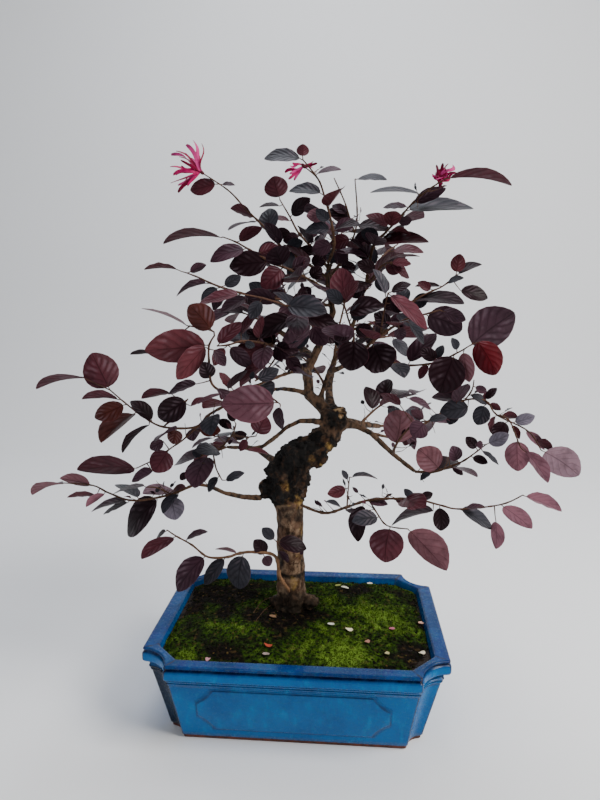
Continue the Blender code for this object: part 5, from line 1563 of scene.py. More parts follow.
    def bed(self) -> BMesh:
        """The moss bed, closed below the soil's top, around the trunk's foot.

        Returns:
            The bed.
        """
        body = bmesh.new()
        moss = body.verts.layers.float_color.new("moss")
        rim = self.outline(0.2)
        base = Vector((self.foot.x, self.foot.y, 0))
        inner = [base + (point - base).normalized() * (self.trunk_radius - 3) for point in rim]
        rows = [[point + UP * (self.edge - 2) for point in rim]]
        for k in range(self.rings + 1):
            share = (k / self.rings) ** 0.9
            places = [a.lerp(b, share) for a, b in zip(rim, inner)]
            drop = 1.6 * (1 - fade(k, 0, 5))
            rows.append([Vector((p.x, p.y, self.moss_height(p.x, p.y) - drop)) for p in places])
        rows.append([point + UP * (self.edge - 2) for point in inner])
        rings = lofted(body, rows)
        ends = [[ring[i] for ring in (rings[0], rings[-1])] for i in range(self.around)]
        for i in range(self.around):
            bmesh.ops.contextual_create(body, geom=[*ends[i - 1], *ends[i]])
        bmesh.ops.recalc_face_normals(body, faces=body.faces)
        for vert in body.verts:
            vert[moss] = self.dress(vert.co.x / MM, vert.co.y / MM)
        return body

    def scatter(self, draw: Random, spare: float) -> Vector:
        """A random place inside the pot, clear of the trunk.

        Args:
            draw: The random numbers.
            spare: How far it stays from the pot's wall.

        Returns:
            The place on top of the moss.
        """
        length, width, cut = self.pot.inner_size(self.edge, spare)
        while True:
            x, y = draw.uniform(-length / 2, length / 2), draw.uniform(-width / 2, width / 2)
            in_corner = length / 2 - abs(x) + width / 2 - abs(y) < cut + spare
            if not in_corner and hypot(x - self.foot.x, y - self.foot.y) > self.trunk_radius:
                return Vector((x, y, self.moss_height(x, y)))

    def add_tufts(self, body: BMesh) -> None:
        """Adds pointed moss tufts where the bed is mossy, each with painted shade towards its base.

        Args:
            body: The mesh that it is added to.
        """
        moss = body.verts.layers.float_color.new("moss")
        draw = Random(self.seed)
        for _ in range(self.tufts):
            spot = self.scatter(draw, 1.5)
            mossy = min(1.2, self.mossy(spot.x, spot.y))
            if draw.random() > mossy:
                continue
            size = draw.uniform(*self.tuft_radius)
            tall = draw.uniform(*self.tuft_tall) * (0.6 + 0.6 * mossy)
            lean = Vector((draw.gauss(0, 0.35), draw.gauss(0, 0.35), 1)).normalized()
            turn = UP.rotation_difference(lean).to_matrix().to_4x4()
            place = Matrix.Translation((spot + lean * (tall / 2 - 0.5)) * MM) @ turn
            made = bmesh.ops.create_cone(body, cap_ends=True, segments=3, radius1=size * MM,
                                         radius2=0, depth=tall * MM, matrix=place)
            shade = self.dress(spot.x, spot.y)
            own = draw.uniform(0.2, 1.4)
            for vert in made["verts"]:
                high = (vert.co - spot * MM).dot(lean) / (tall * MM)
                # Painted shade: a tuft is darker at its base and lighter towards its tip.
                light = shade[1] * own * (0.3 + 0.7 * fade(high, -0.1, 0.8))
                vert[moss] = (shade[0], light, shade[2] * 0.6, 1)

    def add_crumbs(self, body: BMesh) -> None:
        """Adds crumbs of soil and bark, mostly on the bare ground, a few of them straw-coloured.

        Args:
            body: The mesh that it is added to.
        """
        moss = body.verts.layers.float_color.new("moss")
        draw = Random(self.seed + 1)
        for _ in range(self.crumbs):
            spot = self.scatter(draw, 2.0)
            if draw.random() < 0.8 * self.mossy(spot.x, spot.y):
                continue
            size = draw.uniform(*self.crumb_radius)
            stretch = Matrix.Diagonal((size * MM, size * draw.uniform(0.5, 1) * MM,
                                       size * draw.uniform(0.4, 0.8) * MM, 1))
            turn = Matrix.Rotation(draw.uniform(0, 6.3), 4, "Z")
            turn = turn @ Matrix.Rotation(draw.gauss(0, 0.4), 4, "X")
            made = bmesh.ops.create_icosphere(body, subdivisions=1, radius=1,
                                              matrix=Matrix.Translation(spot * MM) @ turn @ stretch)
            dry = draw.uniform(0.3, 0.8) if draw.random() < self.straw_share else 0.0
            for vert in made["verts"]:
                vert[moss] = (0.35 * draw.random(), 0, dry, 1)

    def add_petals(self, body: BMesh) -> None:
        """Adds the fallen petals, each a small curled chip.

        Args:
            body: The mesh that it is added to.
        """
        tint = body.loops.layers.float_color.new("tint")
        draw = Random(self.seed + 2)
        for right, down, turn, colour in self.chips:
            spot = on_level(right, down, self.edge + self.about)
            spot.z = self.moss_height(spot.x, spot.y) + 1.6
            long, wide = draw.uniform(*self.petal_long), draw.uniform(*self.petal_wide)
            made = bmesh.ops.create_grid(body, x_segments=6, y_segments=2, size=0.5)["verts"]
            place = Matrix.Translation(spot) @ Matrix.Rotation(turn, 4, "Z") @ Matrix.Rotation(0.25, 4, "Y")
            bend = draw.uniform(-1.4, 1.4)
            for vert in made:
                x, y, _ = vert.co
                lift = bend * (4 * x * x - 0.4) + 1.6 * y * y
                vert.co = place @ Vector((x * long, y * wide * (1 - 2.2 * x * x), lift)) * MM
            faces = {face for vert in made for face in vert.link_faces}
            tinted(faces, tint, (*paint(colour)[:3], 0))
            bmesh.ops.solidify(body, geom=list(faces), thickness=self.petal_thick * MM)

    def add_roots(self, body: BMesh) -> None:
        """Adds the thin roots that lie on the soil by the trunk.

        Args:
            body: The mesh that it is added to.
        """
        youth = body.verts.layers.float.new("youth")
        for root in self.roots:
            spots = [on_level(*place, self.edge + 6) for place in root]
            rows = [(p.x, p.y, self.moss_height(p.x, p.y) + 0.2, 0.48 - 0.08 * i)
                    for i, p in enumerate(spots)]
            line = smooth_line(rows, 2.0)
            solid(body, tube_sections([row.xyz for row in line], [row.w for row in line], 6))
        for vert in body.verts:
            vert[youth] = 0.3

    def build(self) -> None:
        """Builds and dresses everything in the pot."""
        moss = Moss().build()
        as_piece("moss_bed", self.bed(), (moss,), self.crease)
        for name, add, finish, slot in (
                ("moss_tufts", self.add_tufts, moss, "soil"), ("soil_crumbs", self.add_crumbs, moss, "soil"),
                ("fallen_petals", self.add_petals, Petal().build(), "petal"),
                ("surface_roots", self.add_roots, Twigskin().build(), "bark")):
            body = bmesh.new()
            add(body)
            as_piece(name, body, (finish,), self.crease)
        dress_node("soil", EARTH.build())
        for side in ("left", "right"):
            dress_node(f"drain_screen_{side}", PLASTIC.build())


def within(spots: Iterable[Row], right: float, down: float, blur: float, near: float = 0.4,
           far: float = 1.0, squash: float = 1.0) -> float:
    """How far inside the nearest of some round spots on the page a place lies.

    Args:
        spots: The spots, each as (right, down, reach).
        right: The place's distance to the right.
        down: Its distance down.
        blur: What is added to its distance from a spot.
        near: The share of the reach up to which the result is 1.
        far: The share of the reach from which it is 0.
        squash: What a distance down counts for.

    Returns:
        The result, from 0 to 1.
    """
    return max(1 - fade(hypot(right - x, squash * (down - y)) + blur, near * reach, far * reach)
               for x, y, reach in spots)


@dataclass
class Trunk:
    """The trunk with its burl and limbs, and the fine relief of its bark.

    Places are on the page, and a knot, a dark spot or a fleck of worn bark also has its reach there.
    Any other reach is where an effect starts to fade and where it ends, in millimetres; burl_left is
    the same for the way beside the burl's ridge, in page units.
    """

    voxel: float = 0.9
    smoothings: int = 4
    column_at: Pair = (290, 520)
    column_reach: Pair = (22, 30)
    rings_at: tuple[float, ...] = (571,)
    burl_at: Pair = (325, 446)
    burl_foot_at: Pair = (285, 500)
    burl_ridge: tuple[Pair, Pair] = ((290, 505), (334, 428))
    burl_right: float = 12.0
    burl_reach: Pair = (34, 44)
    burl_left: Pair = (-46, -38)
    knots: tuple[Spot, ...] = ((336, 417, 17), (322, 471, 11), (267, 487, 9))
    cut_at: Spot = (341, 410, -3)
    cut_lean: Spot = (0.5, 0, 0.25)
    cut_reach: Pair = (3.5, 6)
    foot_reach: Pair = (84, 98)
    dark_at: tuple[Spot, ...] = (
        (288, 512, 12), (300, 516, 8), (278, 525, 6), (302, 541, 6), (279, 560, 7), (305, 575, 6),
        (284, 600, 10), (304, 598, 12), (294, 606, 12), (314, 602, 9), (292, 536, 5))
    flecks: tuple[Spot, ...] = (
        (285, 487, 6), (311, 460, 4.5), (294, 584, 6.5), (323, 466, 3), (330, 447, 5), (298, 502, 5),
        (288, 503, 4), (302, 530, 5), (286, 548, 5), (299, 556, 4))

    def __post_init__(self) -> None:
        """Finds the named places of the page in space."""
        self.axis = on_page(*self.column_at, 0)
        self.burl_top, self.burl_foot = (on_page(*place, 0).z for place in (self.burl_at, self.burl_foot_at))
        self.ring_heights = [on_page(self.column_at[0], down, 0).z for down in self.rings_at]
        self.cut = on_page(*self.cut_at)
        self.cut_face = ((EYE - self.cut).normalized() + Vector(self.cut_lean)).normalized()

    def skin(self) -> BMesh:
        """A fine even skin over the trunk's solid.

        Returns:
            The skin, before its relief.
        """
        body = bmesh.new()
        body.from_mesh(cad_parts["trunk"].data)
        bmesh.ops.remove_doubles(body, verts=body.verts, dist=WELD * MM)
        form = as_object("trunk_form", body)
        even = form.modifiers.new("Even", "REMESH")
        even.mode = "VOXEL"
        even.voxel_size = self.voxel * MM
        body = bmesh.new()
        body.from_object(form, bpy.context.evaluated_depsgraph_get())
        bpy.data.objects.remove(form)
        for _ in range(self.smoothings):
            bmesh.ops.smooth_vert(body, verts=body.verts, factor=0.5, use_axis_x=True, use_axis_y=True,
                                  use_axis_z=True)
        return body

    def bark(self, spot: Vector, normal: Vector) -> tuple[float, Row, Row]:
        """The bark at a place.

        Args:
            spot: The place, in millimetres.
            normal: The way that the skin faces there.

        Returns:
            How far it stands out; how much of it is crust, ring, limb and ochre; and how much is cut wood,
            damp foot, pit and worn fleck.
        """
        right, down = page_spot(spot)
        fine = noise.fractal(spot / 5, 1.0, 2.0, 3)
        lumps = noise.fractal(spot / 11, 1.0, 2.0, 3)
        shade = noise.fractal(spot / 14 + Vector((3, 1, 2)), 1.0, 2.0, 3)
        mottle = noise.fractal(spot / 8 + Vector((5, 2, 6)), 1.0, 2.0, 3)
        grain = noise.fractal(Vector((spot.x / 2.4, spot.y / 2.4, spot.z / 9)), 0.9, 2.0, 4)
        cracks = noise.fractal(spot / 2.6 + Vector((9, 4, 1)), 0.8, 2.0, 4)
        pits = min(noise.voronoi(spot / 3.2)[0][0], 1)
        x, y = spot.x - self.axis.x, spot.y - self.axis.y
        on_column = 1 - fade(hypot(x, y), *self.column_reach)
        on_column *= 1 - fade(spot.z, self.burl_foot - 4, self.burl_foot + 6)
        (x0, y0), (x1, y1) = self.burl_ridge
        beside = ((right - x0) * (y0 - y1) + (down - y0) * (x1 - x0)) / hypot(x1 - x0, y1 - y0)
        in_burl = fade(spot.z, self.burl_foot - 6, self.burl_foot + 4)
        in_burl *= 1 - fade(spot.z, self.burl_top + 2, self.burl_top + 26)
        in_burl *= 1 - fade(hypot(x - self.burl_right, y), *self.burl_reach)
        in_burl *= fade(beside, *self.burl_left)
        in_burl = fade(in_burl + 0.5 * shade, 0.35, 0.65) if in_burl > 0 else 0
        in_knot = within(self.knots, right, down, 5 * fine, near=0.5)
        ochre = fade(beside + 5 + 9 * shade + 7 * fine, 0, 9)
        fleck = within(self.flecks, right, down, 3 * fine, squash=0.8)
        fleck *= fade(normal.dot((EYE - spot).normalized()), 0.1, 0.4)
        ring = 0.0
        for level in self.ring_heights:
            wave = level + 2.2 * noise.noise(Vector((spot.x / 12, spot.y / 12, level)))
            ring = max(ring, 1 - fade(abs(spot.z - wave), 0.8, 3.2))
        ring = max(ring, 0.8 * within(self.dark_at, right, down, 5 * fine, far=1.2)) * on_column
        limb = (1 - on_column) * (1 - in_burl)
        is_cut = fade(normal.dot(self.cut_face), 0.6, 0.8)
        is_cut *= 1 - fade((spot - self.cut).length + 5 * fine, *self.cut_reach)
        rough = max(in_burl, in_knot)
        foot, above = self.foot_reach
        low = 1 - fade(spot.z, foot + 5 * lumps, above + 8 * lumps)
        shift = on_column * (0.8 * lumps + 0.35 * grain) - 0.5 * ring
        shift += low * (1.4 * lumps + 1.5 * fine + 0.9 * cracks)
        shift += rough * (1.6 * lumps + 1.2 * fine + 1.3 * cracks + 1.4 * (0.5 - pits))
        shift += 0.3 * limb * (grain + lumps)
        pit = rough * fade(pits, 0.75, 0.95) + 0.6 * on_column * fade(-grain, 0.4, 0.8)
        crust = max(in_burl * (1 - 0.75 * ochre * fade(mottle, -0.2, 0.15)), in_knot)
        return shift * (1 - is_cut), (crust, ring, limb, in_burl * ochre), (is_cut, low, min(1, pit), fleck)

    def build(self) -> None:
        """Builds and dresses the trunk."""
        body = self.skin()
        layers = [body.verts.layers.float_color.new(name) for name in ("bark", "wear")]
        body.normal_update()
        moves = []
        for vert in body.verts:
            shift, *colours = self.bark(vert.co / MM, vert.normal)
            moves.append((vert, vert.normal * shift * MM))
            for layer, colour in zip(layers, colours):
                vert[layer] = colour
        for vert, move in moves:
            vert.co += move
        trunk = as_piece("trunk_bark", body, (Bark().build(),), 80)
        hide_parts("trunk")


class Tint(Enum):
    """The colours that a leaf's side may have; the grey-blue, grey and whitish-pink ones are painted
    reflection and gloss, not the leaf's own colour.
    """

    NIGHT = "201015"
    PLUM = "321E27"
    DUSK = "422B35"
    BURGUNDY = "4C232B"
    WINE = "5A2A30"
    RUST = "4C241F"
    ROSE = "764C52"
    PINK = "96636F"
    CRIMSON = "540A14"
    MAUVE = "56363F"
    # Painted reflection and gloss: the next three tints stand for light mirrored on a leaf's upper side.
    SLATE_SHEEN = "323238"
    ASH_SHEEN = "6A6470"
    PALE_GLOSS = "B08C98"


# Which seen leaves have which tint, by the place of their tips on the page
TINTS = {
    Tint.BURGUNDY: ((92, 353), (36, 387.5), (82, 397.5), (141.5, 398), (207, 398), (78, 467), (154, 472),
                    (266, 416), (141.5, 559), (141, 309), (274, 176), (512, 186), (163, 241), (492, 392),
                    (491, 434), (501, 410), (303, 144), (385, 562)),
    Tint.RUST: ((94.5, 418), (100, 440), (173, 444), (221, 431), (189, 305)),
    Tint.WINE: ((67, 497), (269, 453), (144.6, 349), (176, 379), (460, 254), (327.5, 494)),
    Tint.NIGHT: ((131, 400), (158, 418), (122, 452.5), (125, 534.6), (254, 540), (307, 548), (130, 355),
                 (203, 362), (440, 393), (384, 372), (350, 371), (356, 542), (494, 438)),
    Tint.PLUM: ((91, 512), (103, 514), (112, 493), (207.5, 531), (176, 591), (168, 394), (462, 330)),
    Tint.DUSK: ((150, 449), (132, 481), (270, 566), (514, 312), (476, 445)),
    Tint.ROSE: ((60, 477.6), (32, 493.6), (172, 492), (400, 409), (470, 382), (418, 449), (447, 570)),
    Tint.PINK: ((86, 507), (496, 549), (532, 529), (562, 511), (518, 471), (548, 483), (545, 449)),
    Tint.CRIMSON: ((496, 375), (520, 439)),
    Tint.MAUVE: ((221, 404),),
    Tint.SLATE_SHEEN: ((474, 206.5), (370, 192), (387, 178), (264, 159), (204.6, 585),
                 (238, 589), (327, 311), (352, 521.5), (378, 477), (499, 465), (477, 425)),
    Tint.ASH_SHEEN: ((176, 520), (509, 434), (535, 416)),
    Tint.PALE_GLOSS: ((143, 493), (579, 475)),
}
TINT_AT = {place: tint for tint, places in TINTS.items() for place in places}

# How often another leaf has a tint on its upper side and on its underside; the grey-blue one on upper sides
# is painted reflection
TINT_SHARES = {
    Tint.NIGHT: (0.24, 0), Tint.PLUM: (0.2, 0.25), Tint.DUSK: (0.2, 0.25), Tint.SLATE_SHEEN: (0.3, 0),
    Tint.BURGUNDY: (0.06, 0.36), Tint.WINE: (0, 0.09), Tint.MAUVE: (0, 0.05),
}


class Shape(Enum):
    """The outlines that a leaf may have, each as its power, egg and point."""

    SLIM = (0.62, 0.08, 0.6)
    OVAL = (0.57, 0.07, 0.4)
    ROUND = (0.52, 0.06, 0.3)


@dataclass
class Stamp:
    """A thin closed leaf blade of a few dozen faces that is printed once for each leaf.

    In the blank, x runs across from -1 to 1, y along from 0 to 1, and z is 1 on the upper side, -1 on
    the underside and 0 on the edge. The power rounds its ends, the egg widens its foot, and the point
    narrows its tip.
    """

    power: float
    egg: float
    point: float
    across: int = 4
    along: int = 10
    weld: float = 0.002
    blank: Mesh = field(init=False)

    def half_width(self, place: float) -> float:
        """Half the blade's width at a share of its length, as a share of its widest."""
        full = max(0.0, 4 * place * (1 - place)) ** self.power
        return full * (1 + self.egg * (1 - 2 * place)) * (1 - self.point * place ** 7)

    def __post_init__(self) -> None:
        """Makes the blank."""
        body = bmesh.new()
        bmesh.ops.create_grid(body, x_segments=self.across, y_segments=self.along, size=1)
        chart = body.loops.layers.uv.new("leaf")
        widest = max(self.half_width(k / 50) for k in range(51))
        for vert in body.verts:
            vert.co.y = (1 - cos(pi * (vert.co.y + 1) / 2)) / 2
        for face in body.faces:
            for loop in face.loops:
                loop[chart].uv = ((loop.vert.co.x + 1) / 2, loop.vert.co.y)
        inside = {vert for vert in body.verts if not vert.is_boundary}
        under = bmesh.ops.duplicate(body, geom=[*body.verts, *body.edges, *body.faces])
        twins = under["vert_map"]
        faces = [part for part in under["geom"] if isinstance(part, BMFace)]
        bmesh.ops.reverse_faces(body, faces=faces)
        for vert in inside:
            vert.co.z = 1
            twins[vert].co.z = -1
        for vert in body.verts:
            vert.co.x *= self.half_width(vert.co.y) / widest
        bmesh.ops.remove_doubles(body, verts=body.verts, dist=self.weld)
        self.blank = bpy.data.meshes.new("leaf_blank")
        body.to_mesh(self.blank)
        body.free()


@dataclass
class LeafySpray:
    """One leafy shoot: its smoothed stems, its leaf stalks and its leaves."""

    spray: Spray
    grown: list[tuple[Blade, Row | None]]
    stamps: dict[Shape, Stamp]
    skin: Material
    bark: Material
    thick: float = 0.34
    stem_step: float = 3.0
    stem_root: float = 1.3
    stem_tip: float = 0.5
    stalk: float = 0.4
    youth: float = 0.1
    sprout_every: float = 7.0
    sprout_radius: float = 0.3
    sprout_long: Pair = (6, 15)
    tiny_share: float = 0.7
    tiny_long: Pair = (4, 8)
    tiny_wide: Pair = (2, 4)
    fold: Pair = (0.04, 0.34)
    droop: Pair = (-0.02, 0.09)
    sway: Pair = (-0.05, 0.05)
    ruffle: Pair = (0.1, 0.5)
    lifts: Pair = (0.85, 1.2)
    oval_from: float = 0.5
    round_from: float = 0.74

    def __post_init__(self) -> None:
        """Starts with no tiny leaves."""
        self.tiny = []

    def stem_lines(self) -> list[list[Vector]]:
        """The stems as smooth lines of (x, y, z, radius).

        Returns:
            A line for each stem, in millimetres.
        """
        lines = []
        for i, stem in enumerate(self.spray.stems):
            first = self.stem_root if i == 0 else self.stem_tip + 0.25
            rows = [(*on_page(*spot), first + (self.stem_tip - first) * k / (len(stem) - 1))
                    for k, spot in enumerate(stem)]
            lines.append(smooth_line(rows, self.stem_step))
        return lines

    def nearest(self, lines: Sequence[Line], point: Vector) -> Vector:
        """The point of the stems nearest to a point."""
        return min((row.xyz for line in lines for row in line), key=lambda spot: (spot - point).length)

    def add_tube(self, body: BMesh, points: Line, radii: Row, sides: int, youth: Pair) -> None:
        """Adds a closed tube whose bark goes from one youth to another.

        Args:
            body: The mesh that it is added to.
            points: Its middle line in millimetres.
            radii: Its radius at each point.
            sides: How many sides it has.
            youth: How young its bark is at its first and its last point.
        """
        layer = body.verts.layers.float["youth"]
        rings = solid(body, tube_sections(points, radii, sides))
        for i, ring in enumerate(rings):
            for vert in ring:
                vert[layer] = youth[0] + (youth[1] - youth[0]) * i / (len(rings) - 1)

    def add_sprouts(self, body: BMesh, line: Line, draw: Random) -> None:
        """Adds thin side twigs by rule along the inner half of a stem, some with a tiny leaf at the end.

        Args:
            body: The mesh that it is added to.
            line: The stem's line.
            draw: The random numbers.
        """
        for _ in range(round(0.5 * len(line) * self.stem_step / self.sprout_every)):
            root = line[draw.randrange(1, max(2, len(line) // 2))].xyz
            away = Vector((draw.gauss(0, 1), draw.gauss(0, 1), draw.gauss(0.4, 0.7))).normalized()
            long = draw.uniform(*self.sprout_long)
            bend = root + away * long * 0.5
            onward = away + 0.5 * Vector((draw.gauss(0, 1), draw.gauss(0, 1), 0.6))
            tip = bend + onward.normalized() * long * 0.5
            radii = (self.sprout_radius * 1.4, self.sprout_radius, self.sprout_radius * 0.6)
            self.add_tube(body, (root, bend, tip), radii, 5, (0.2, 0.6))
            if draw.random() < self.tiny_share:
                end = tip + (tip - bend).normalized() * draw.uniform(*self.tiny_long)
                facing = Vector((draw.gauss(0, 0.6), draw.gauss(-0.5, 0.6), 1))
                normal = (end - tip).cross(facing).cross(end - tip).normalized()
                self.tiny.append((Blade(tip, tip, end, normal, draw.uniform(*self.tiny_wide)), None))

    def twigs(self, draw: Random) -> BMesh:
        """The stems with their nodes, the leaf stalks and the side twigs.

        Args:
            draw: The random numbers.

        Returns:
            The wood.
        """
        body = bmesh.new()
        body.verts.layers.float.new("youth")
        lines = self.stem_lines()
        for i, line in enumerate(lines):
            radii = [row.w * (1 + 0.10 * noise.noise(row.xyz / 2.5)) for row in line]
            for k in range(3, len(radii) - 2, 4):
                radii[k] *= draw.uniform(1.1, 1.4)
            self.add_tube(body, [row.xyz for row in line], radii, 7, (self.youth if i == 0 else 0.5, 1.0))
            if self.youth >= 0:
                self.add_sprouts(body, line, draw)
        for blade, _ in self.grown:
            root = self.nearest(lines, blade.root)
            run = blade.tip - blade.foot
            bend = root.lerp(blade.foot, 0.55) - blade.normal * 0.3
            inside = blade.foot + run * 0.10 + blade.normal * (ARCH * run.length * 0.3)
            radii = (self.stalk * 1.35, self.stalk, self.stalk * 0.9, self.stalk * 0.45)
            self.add_tube(body, (root, bend, blade.foot, inside), radii, 5, (0.8, 1.0))
        return body

    def colours(self, shown: Row | None, draw: Random) -> list[list[float]]:
        """The colours of a leaf's upper side and underside.

        Args:
            shown: The leaf's row in the table, or None for a leaf that grows by rule.
            draw: The random numbers.

        Returns:
            Both colours.
        """
        upper, under = (draw.choices(tuple(TINT_SHARES), shares)[0] for shares in zip(*TINT_SHARES.values()))
        if shown:
            seen = TINT_AT.get((shown[2], shown[3]))
            if seen and shown[4] > 0:
                upper = seen
            elif seen:
                under = seen
        lifts = [draw.uniform(*self.lifts) for _ in range(2)]
        return [[channel * lift for channel in paint(tint.value)[:3]]
                for tint, lift in zip((upper, under), lifts)]

    def leaves(self, draw: Random) -> BMesh:
        """The leaf blades.

        Args:
            draw: The random numbers.

        Returns:
            The blades.
        """
        body = bmesh.new()
        body.loops.layers.uv.new("leaf")
        tint = body.loops.layers.float_color.new("tint")
        for blade, shown in self.grown + self.tiny:
            run = blade.tip - blade.foot
            ratio = blade.width / run.length
            shape = Shape.OVAL if ratio > self.oval_from else Shape.SLIM
            if shown and ratio > self.round_from:
                shape = Shape.ROUND
            side = blade.normal.cross(run.normalized()).normalized()
            fold, droop, sway = (draw.uniform(*pair) for pair in (self.fold, self.droop, self.sway))
            waves = draw.choice((2, 2.5, 3))
            phase = draw.uniform(0, FULL_TURN)
            ruffle = draw.uniform(*self.ruffle)
            upper, under = self.colours(shown, draw)
            first_vert, first_face = len(body.verts), len(body.faces)
            body.from_mesh(self.stamps[shape].blank)
            body.verts.ensure_lookup_table()
            body.faces.ensure_lookup_table()
            for face in body.faces[first_face:]:
                is_upper = sum(vert.co.z for vert in face.verts) > 0
                tinted((face,), tint, (*upper, 1.0) if is_upper else (*under, 0.0))
            for vert in body.verts[first_vert:]:
                x, y, z = vert.co
                wide = x * blade.width / 2
                lift = ARCH * run.length * sin(pi * y) + fold * abs(wide)
                lift -= droop * run.length * y * y
                lift += ruffle * x * x * sin(2 * pi * waves * y + phase + (1.3 if x > 0 else 0))
                lift += z * self.thick / 2
                bow = sway * run.length * sin(pi * y)
                vert.co = (blade.foot + run * y + side * (wide + bow) + blade.normal * lift) * MM
        return body

    def build(self, seed: int) -> None:
        """Builds and dresses the shoot.

        Args:
            seed: Where its random numbers start.
        """
        draw = Random(seed)
        short = self.spray.name.removeprefix("spray_")
        twigs = as_piece(f"twigs_{short}", self.twigs(draw), (self.bark,), 60)
        leaves = as_piece(f"leaves_{short}", self.leaves(draw), (self.skin,), 70)
        for item in (twigs, leaves):
            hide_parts(self.spray.name)


@dataclass
class BloomHead:
    """A head of twisted strap petals in its small brown calyx."""

    bloom: Bloom
    steps: int = 14
    thick: float = 0.3
    hues: tuple[str, ...] = ("980044", "78002E", "AC0858", "860038", "C43C80")
    calyx: tuple[float, ...] = (-0.4, 0.6, 1.8, 3.4, 4.6)
    calyx_radii: tuple[float, ...] = (0.7, 1.3, 1.5, 1.3, 0.5)
    calyx_hue: str = "4A1A1E"
    fan: float = 0.28
    twist: float = 1.6
    waves: Pair = (0.3, 0.9)
    least: float = 1.7
    thin: float = 1.5

    def __post_init__(self) -> None:
        """Finds the stem's end and the way it grows."""
        spray = next(spray for spray in SPRAYS if spray.name == self.bloom.spray)
        self.spot = spray.stems[self.bloom.stem][-1]
        before = on_page(*spray.stems[self.bloom.stem][-2])
        self.end = on_page(*self.spot)
        self.ahead = (self.end - before).normalized()

    def petals(self, draw: Random) -> list[Blade]:
        """The petals that the solid has, rooted one behind the other, each with thinner ones beside it.

        Args:
            draw: The random numbers.

        Returns:
            The petals' blades.
        """
        blades = []
        for i, row in enumerate(self.bloom.petals):
            blade = seen_blade(self.spot, (*row[:5], 0, STRAP_FULL), row[5])
            root = self.end + self.ahead * (GAP + PETAL_FIRST + PETAL_SPREAD * i / len(self.bloom.petals))
            blades.append(blade._replace(root=root, width=max(blade.width, self.least)))
            for k in range(self.bloom.extra):
                angle = draw.choice((-1, 1)) * draw.uniform(0.5, 1) * self.fan
                turn = Matrix.Rotation(angle, 3, blade.normal)
                tip = root + turn @ (blade.tip - root) * draw.uniform(0.95, 0.7) / (1 + 0.3 * k)
                blades.append(blade._replace(root=root, tip=tip, width=self.thin))
        return blades

    def build(self, finish: Material, seed: int) -> None:
        """Builds and dresses the flower head.

        Args:
            finish: The petals' material.
            seed: Where its random numbers start.
        """
        draw = Random(seed)
        body = bmesh.new()
        tint = body.loops.layers.float_color.new("tint")
        middle = [self.end + self.ahead * (GAP + reach) for reach in self.calyx]
        solid(body, tube_sections(middle, self.calyx_radii, 8))
        tinted(body.faces, tint, (*paint(self.calyx_hue)[:3], 0))
        for blade in self.petals(draw):
            run = blade.tip - blade.root
            side = blade.normal.cross(run.normalized()).normalized()
            hue = paint(draw.choice(self.hues))[:3]
            first = len(body.faces)
            made = bmesh.ops.create_grid(body, x_segments=2, y_segments=self.steps, size=1)["verts"]
            twist = draw.uniform(-self.twist, self.twist)
            curl = draw.uniform(-1, 1) * self.bloom.curl * run.length
            wave = draw.uniform(*self.waves)
            phase = draw.uniform(0, FULL_TURN)
            shares = {}
            for vert in made:
                x, y = vert.co.x, (vert.co.y + 1) / 2
                shares[vert] = y
                wide = blade.width / 2 * (0.5 + 0.5 * fade(y, 0, 0.5)) * (1 - 0.5 * fade(y, 0.9, 1.0))
                angle = twist * y
                lift = curl * sin(pi * y) + y * wave * sin(8 * y + phase) + 0.3 * wide * x * x
                across = side * cos(angle) + blade.normal * sin(angle)
                bow = 0.5 * curl * sin(2 * pi * y)
                spot = blade.root + run * y + across * (x * wide) + side * bow + blade.normal * lift
                vert.co = spot * MM
            body.faces.ensure_lookup_table()
            faces = body.faces[first:]
            for face in faces:
                for loop in face.loops:
                    dark = 0.6 if shares[loop.vert] > 0.9 else 1.0
                    loop[tint] = (*(channel * dark for channel in hue), 1)
            bmesh.ops.solidify(body, geom=list(faces), thickness=self.thick * MM)
        head = as_piece(self.bloom.name.replace("bloom", "flower"), body, (finish,), 60)
        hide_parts(self.bloom.name)


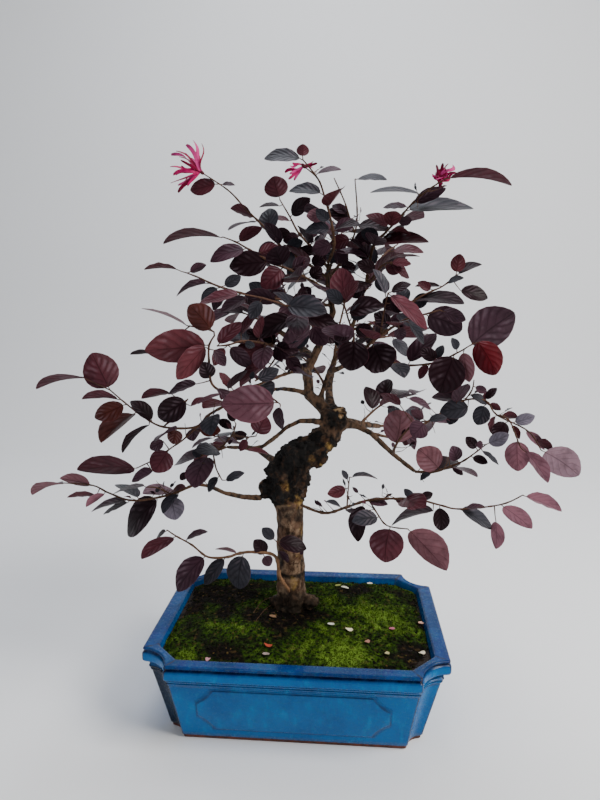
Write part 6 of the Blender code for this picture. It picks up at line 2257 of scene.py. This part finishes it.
@dataclass
class Studio:
    """A pale floor that curves up behind, soft lights and the camera; sizes and places are in metres.

    A lamp has its name, its place, its size, its power in watts and its colour.
    """

    reach: float = 1.6
    start: float = -1.6
    rise: float = 1.5
    behind: float = 0.75
    bend: float = 0.4
    bend_steps: int = 12
    aim: Spot = (0, 0, 0.25)
    world: float = 0.3
    pale: str = "F4F5F6"
    sky: str = "E6EAF0"
    film: float = 36.0
    lamps: tuple[tuple[str, Spot, float, float, str], ...] = (
        ("key_light", (1.05, -0.45, 1.25), 0.7, 30, "FFFCF8"),
        ("fill_light", (-1.3, -0.9, 0.7), 1.1, 5, "EEF3FF"),
        ("top_light", (-0.1, 0.45, 1.7), 0.7, 12, "F2F6FF"))

    def floor(self) -> None:
        """Builds the floor and backdrop."""
        path = [(self.start, 0.0), (self.behind, 0.0)]
        for k in range(1, self.bend_steps + 1):
            angle = pi / 2 * k / self.bend_steps
            path.append((self.behind + self.bend * sin(angle), self.bend * (1 - cos(angle))))
        path.append((self.behind + self.bend, self.rise))
        body = bmesh.new()
        bmesh.ops.create_grid(body, x_segments=1, y_segments=len(path) - 1, size=1)
        for vert in body.verts:
            y, z = path[round((vert.co.y + 1) / 2 * (len(path) - 1))]
            vert.co = (vert.co.x * self.reach, y, z)
        floor = as_object("floor", body)
        floor.data.shade_smooth()
        floor.data.materials.append(Shader("pale_floor").done(Base_Color=paint(self.pale), Roughness=0.9))

    def build(self) -> None:
        """Builds the studio around the object."""
        self.floor()
        for name, place, size, power, colour in self.lamps:
            light = bpy.data.lights.new(name, "AREA")
            light.size = size
            light.energy = power
            light.color = paint(colour)[:3]
            lamp = bpy.data.objects.new(name, light)
            lamp.location = place
            lamp.rotation_euler = (Vector(place) - Vector(self.aim)).to_track_quat("Z", "Y").to_euler()
            bpy.context.scene.collection.objects.link(lamp)
        world = bpy.data.worlds.new("studio")
        world.use_nodes = True
        for socket, value in zip(world.node_tree.nodes["Background"].inputs, (paint(self.sky), self.world)):
            socket.default_value = value
        bpy.context.scene.world = world
        lens = bpy.data.cameras.new("camera")
        lens.lens = self.film * PAGE_FOCUS / PAGE_HEIGHT
        lens.sensor_width = self.film
        camera = bpy.data.objects.new("camera", lens)
        camera.location = EYE * MM
        camera.rotation_euler = (pi / 2 - EYE_DOWN, 0, EYE_LEFT)
        bpy.context.scene.collection.objects.link(camera)
        bpy.context.scene.camera = camera


def main() -> None:
    """Builds every assembly in order."""
    logging.basicConfig(level=logging.INFO, format="%(message)s")
    pot = Pot()
    pot.build()
    Ground(pot).build()
    Trunk().build()
    foliage = Foliage()
    stamps = {shape: Stamp(*shape.value) for shape in Shape}
    skin, bark, petal = Leafskin().build(), Twigskin().build(), Petal().build()
    for i, spray in enumerate(SPRAYS):
        own = SUCKER if spray.name == "spray_sucker" else {}
        LeafySpray(spray, foliage.grown[spray.name], stamps, skin, bark, **own).build(LEAF_SEED + i)
    for i, bloom in enumerate(BLOOMS):
        BloomHead(bloom).build(petal, BLOOM_SEED + i)
    Studio().build()


if __name__ == "__main__":
    main()
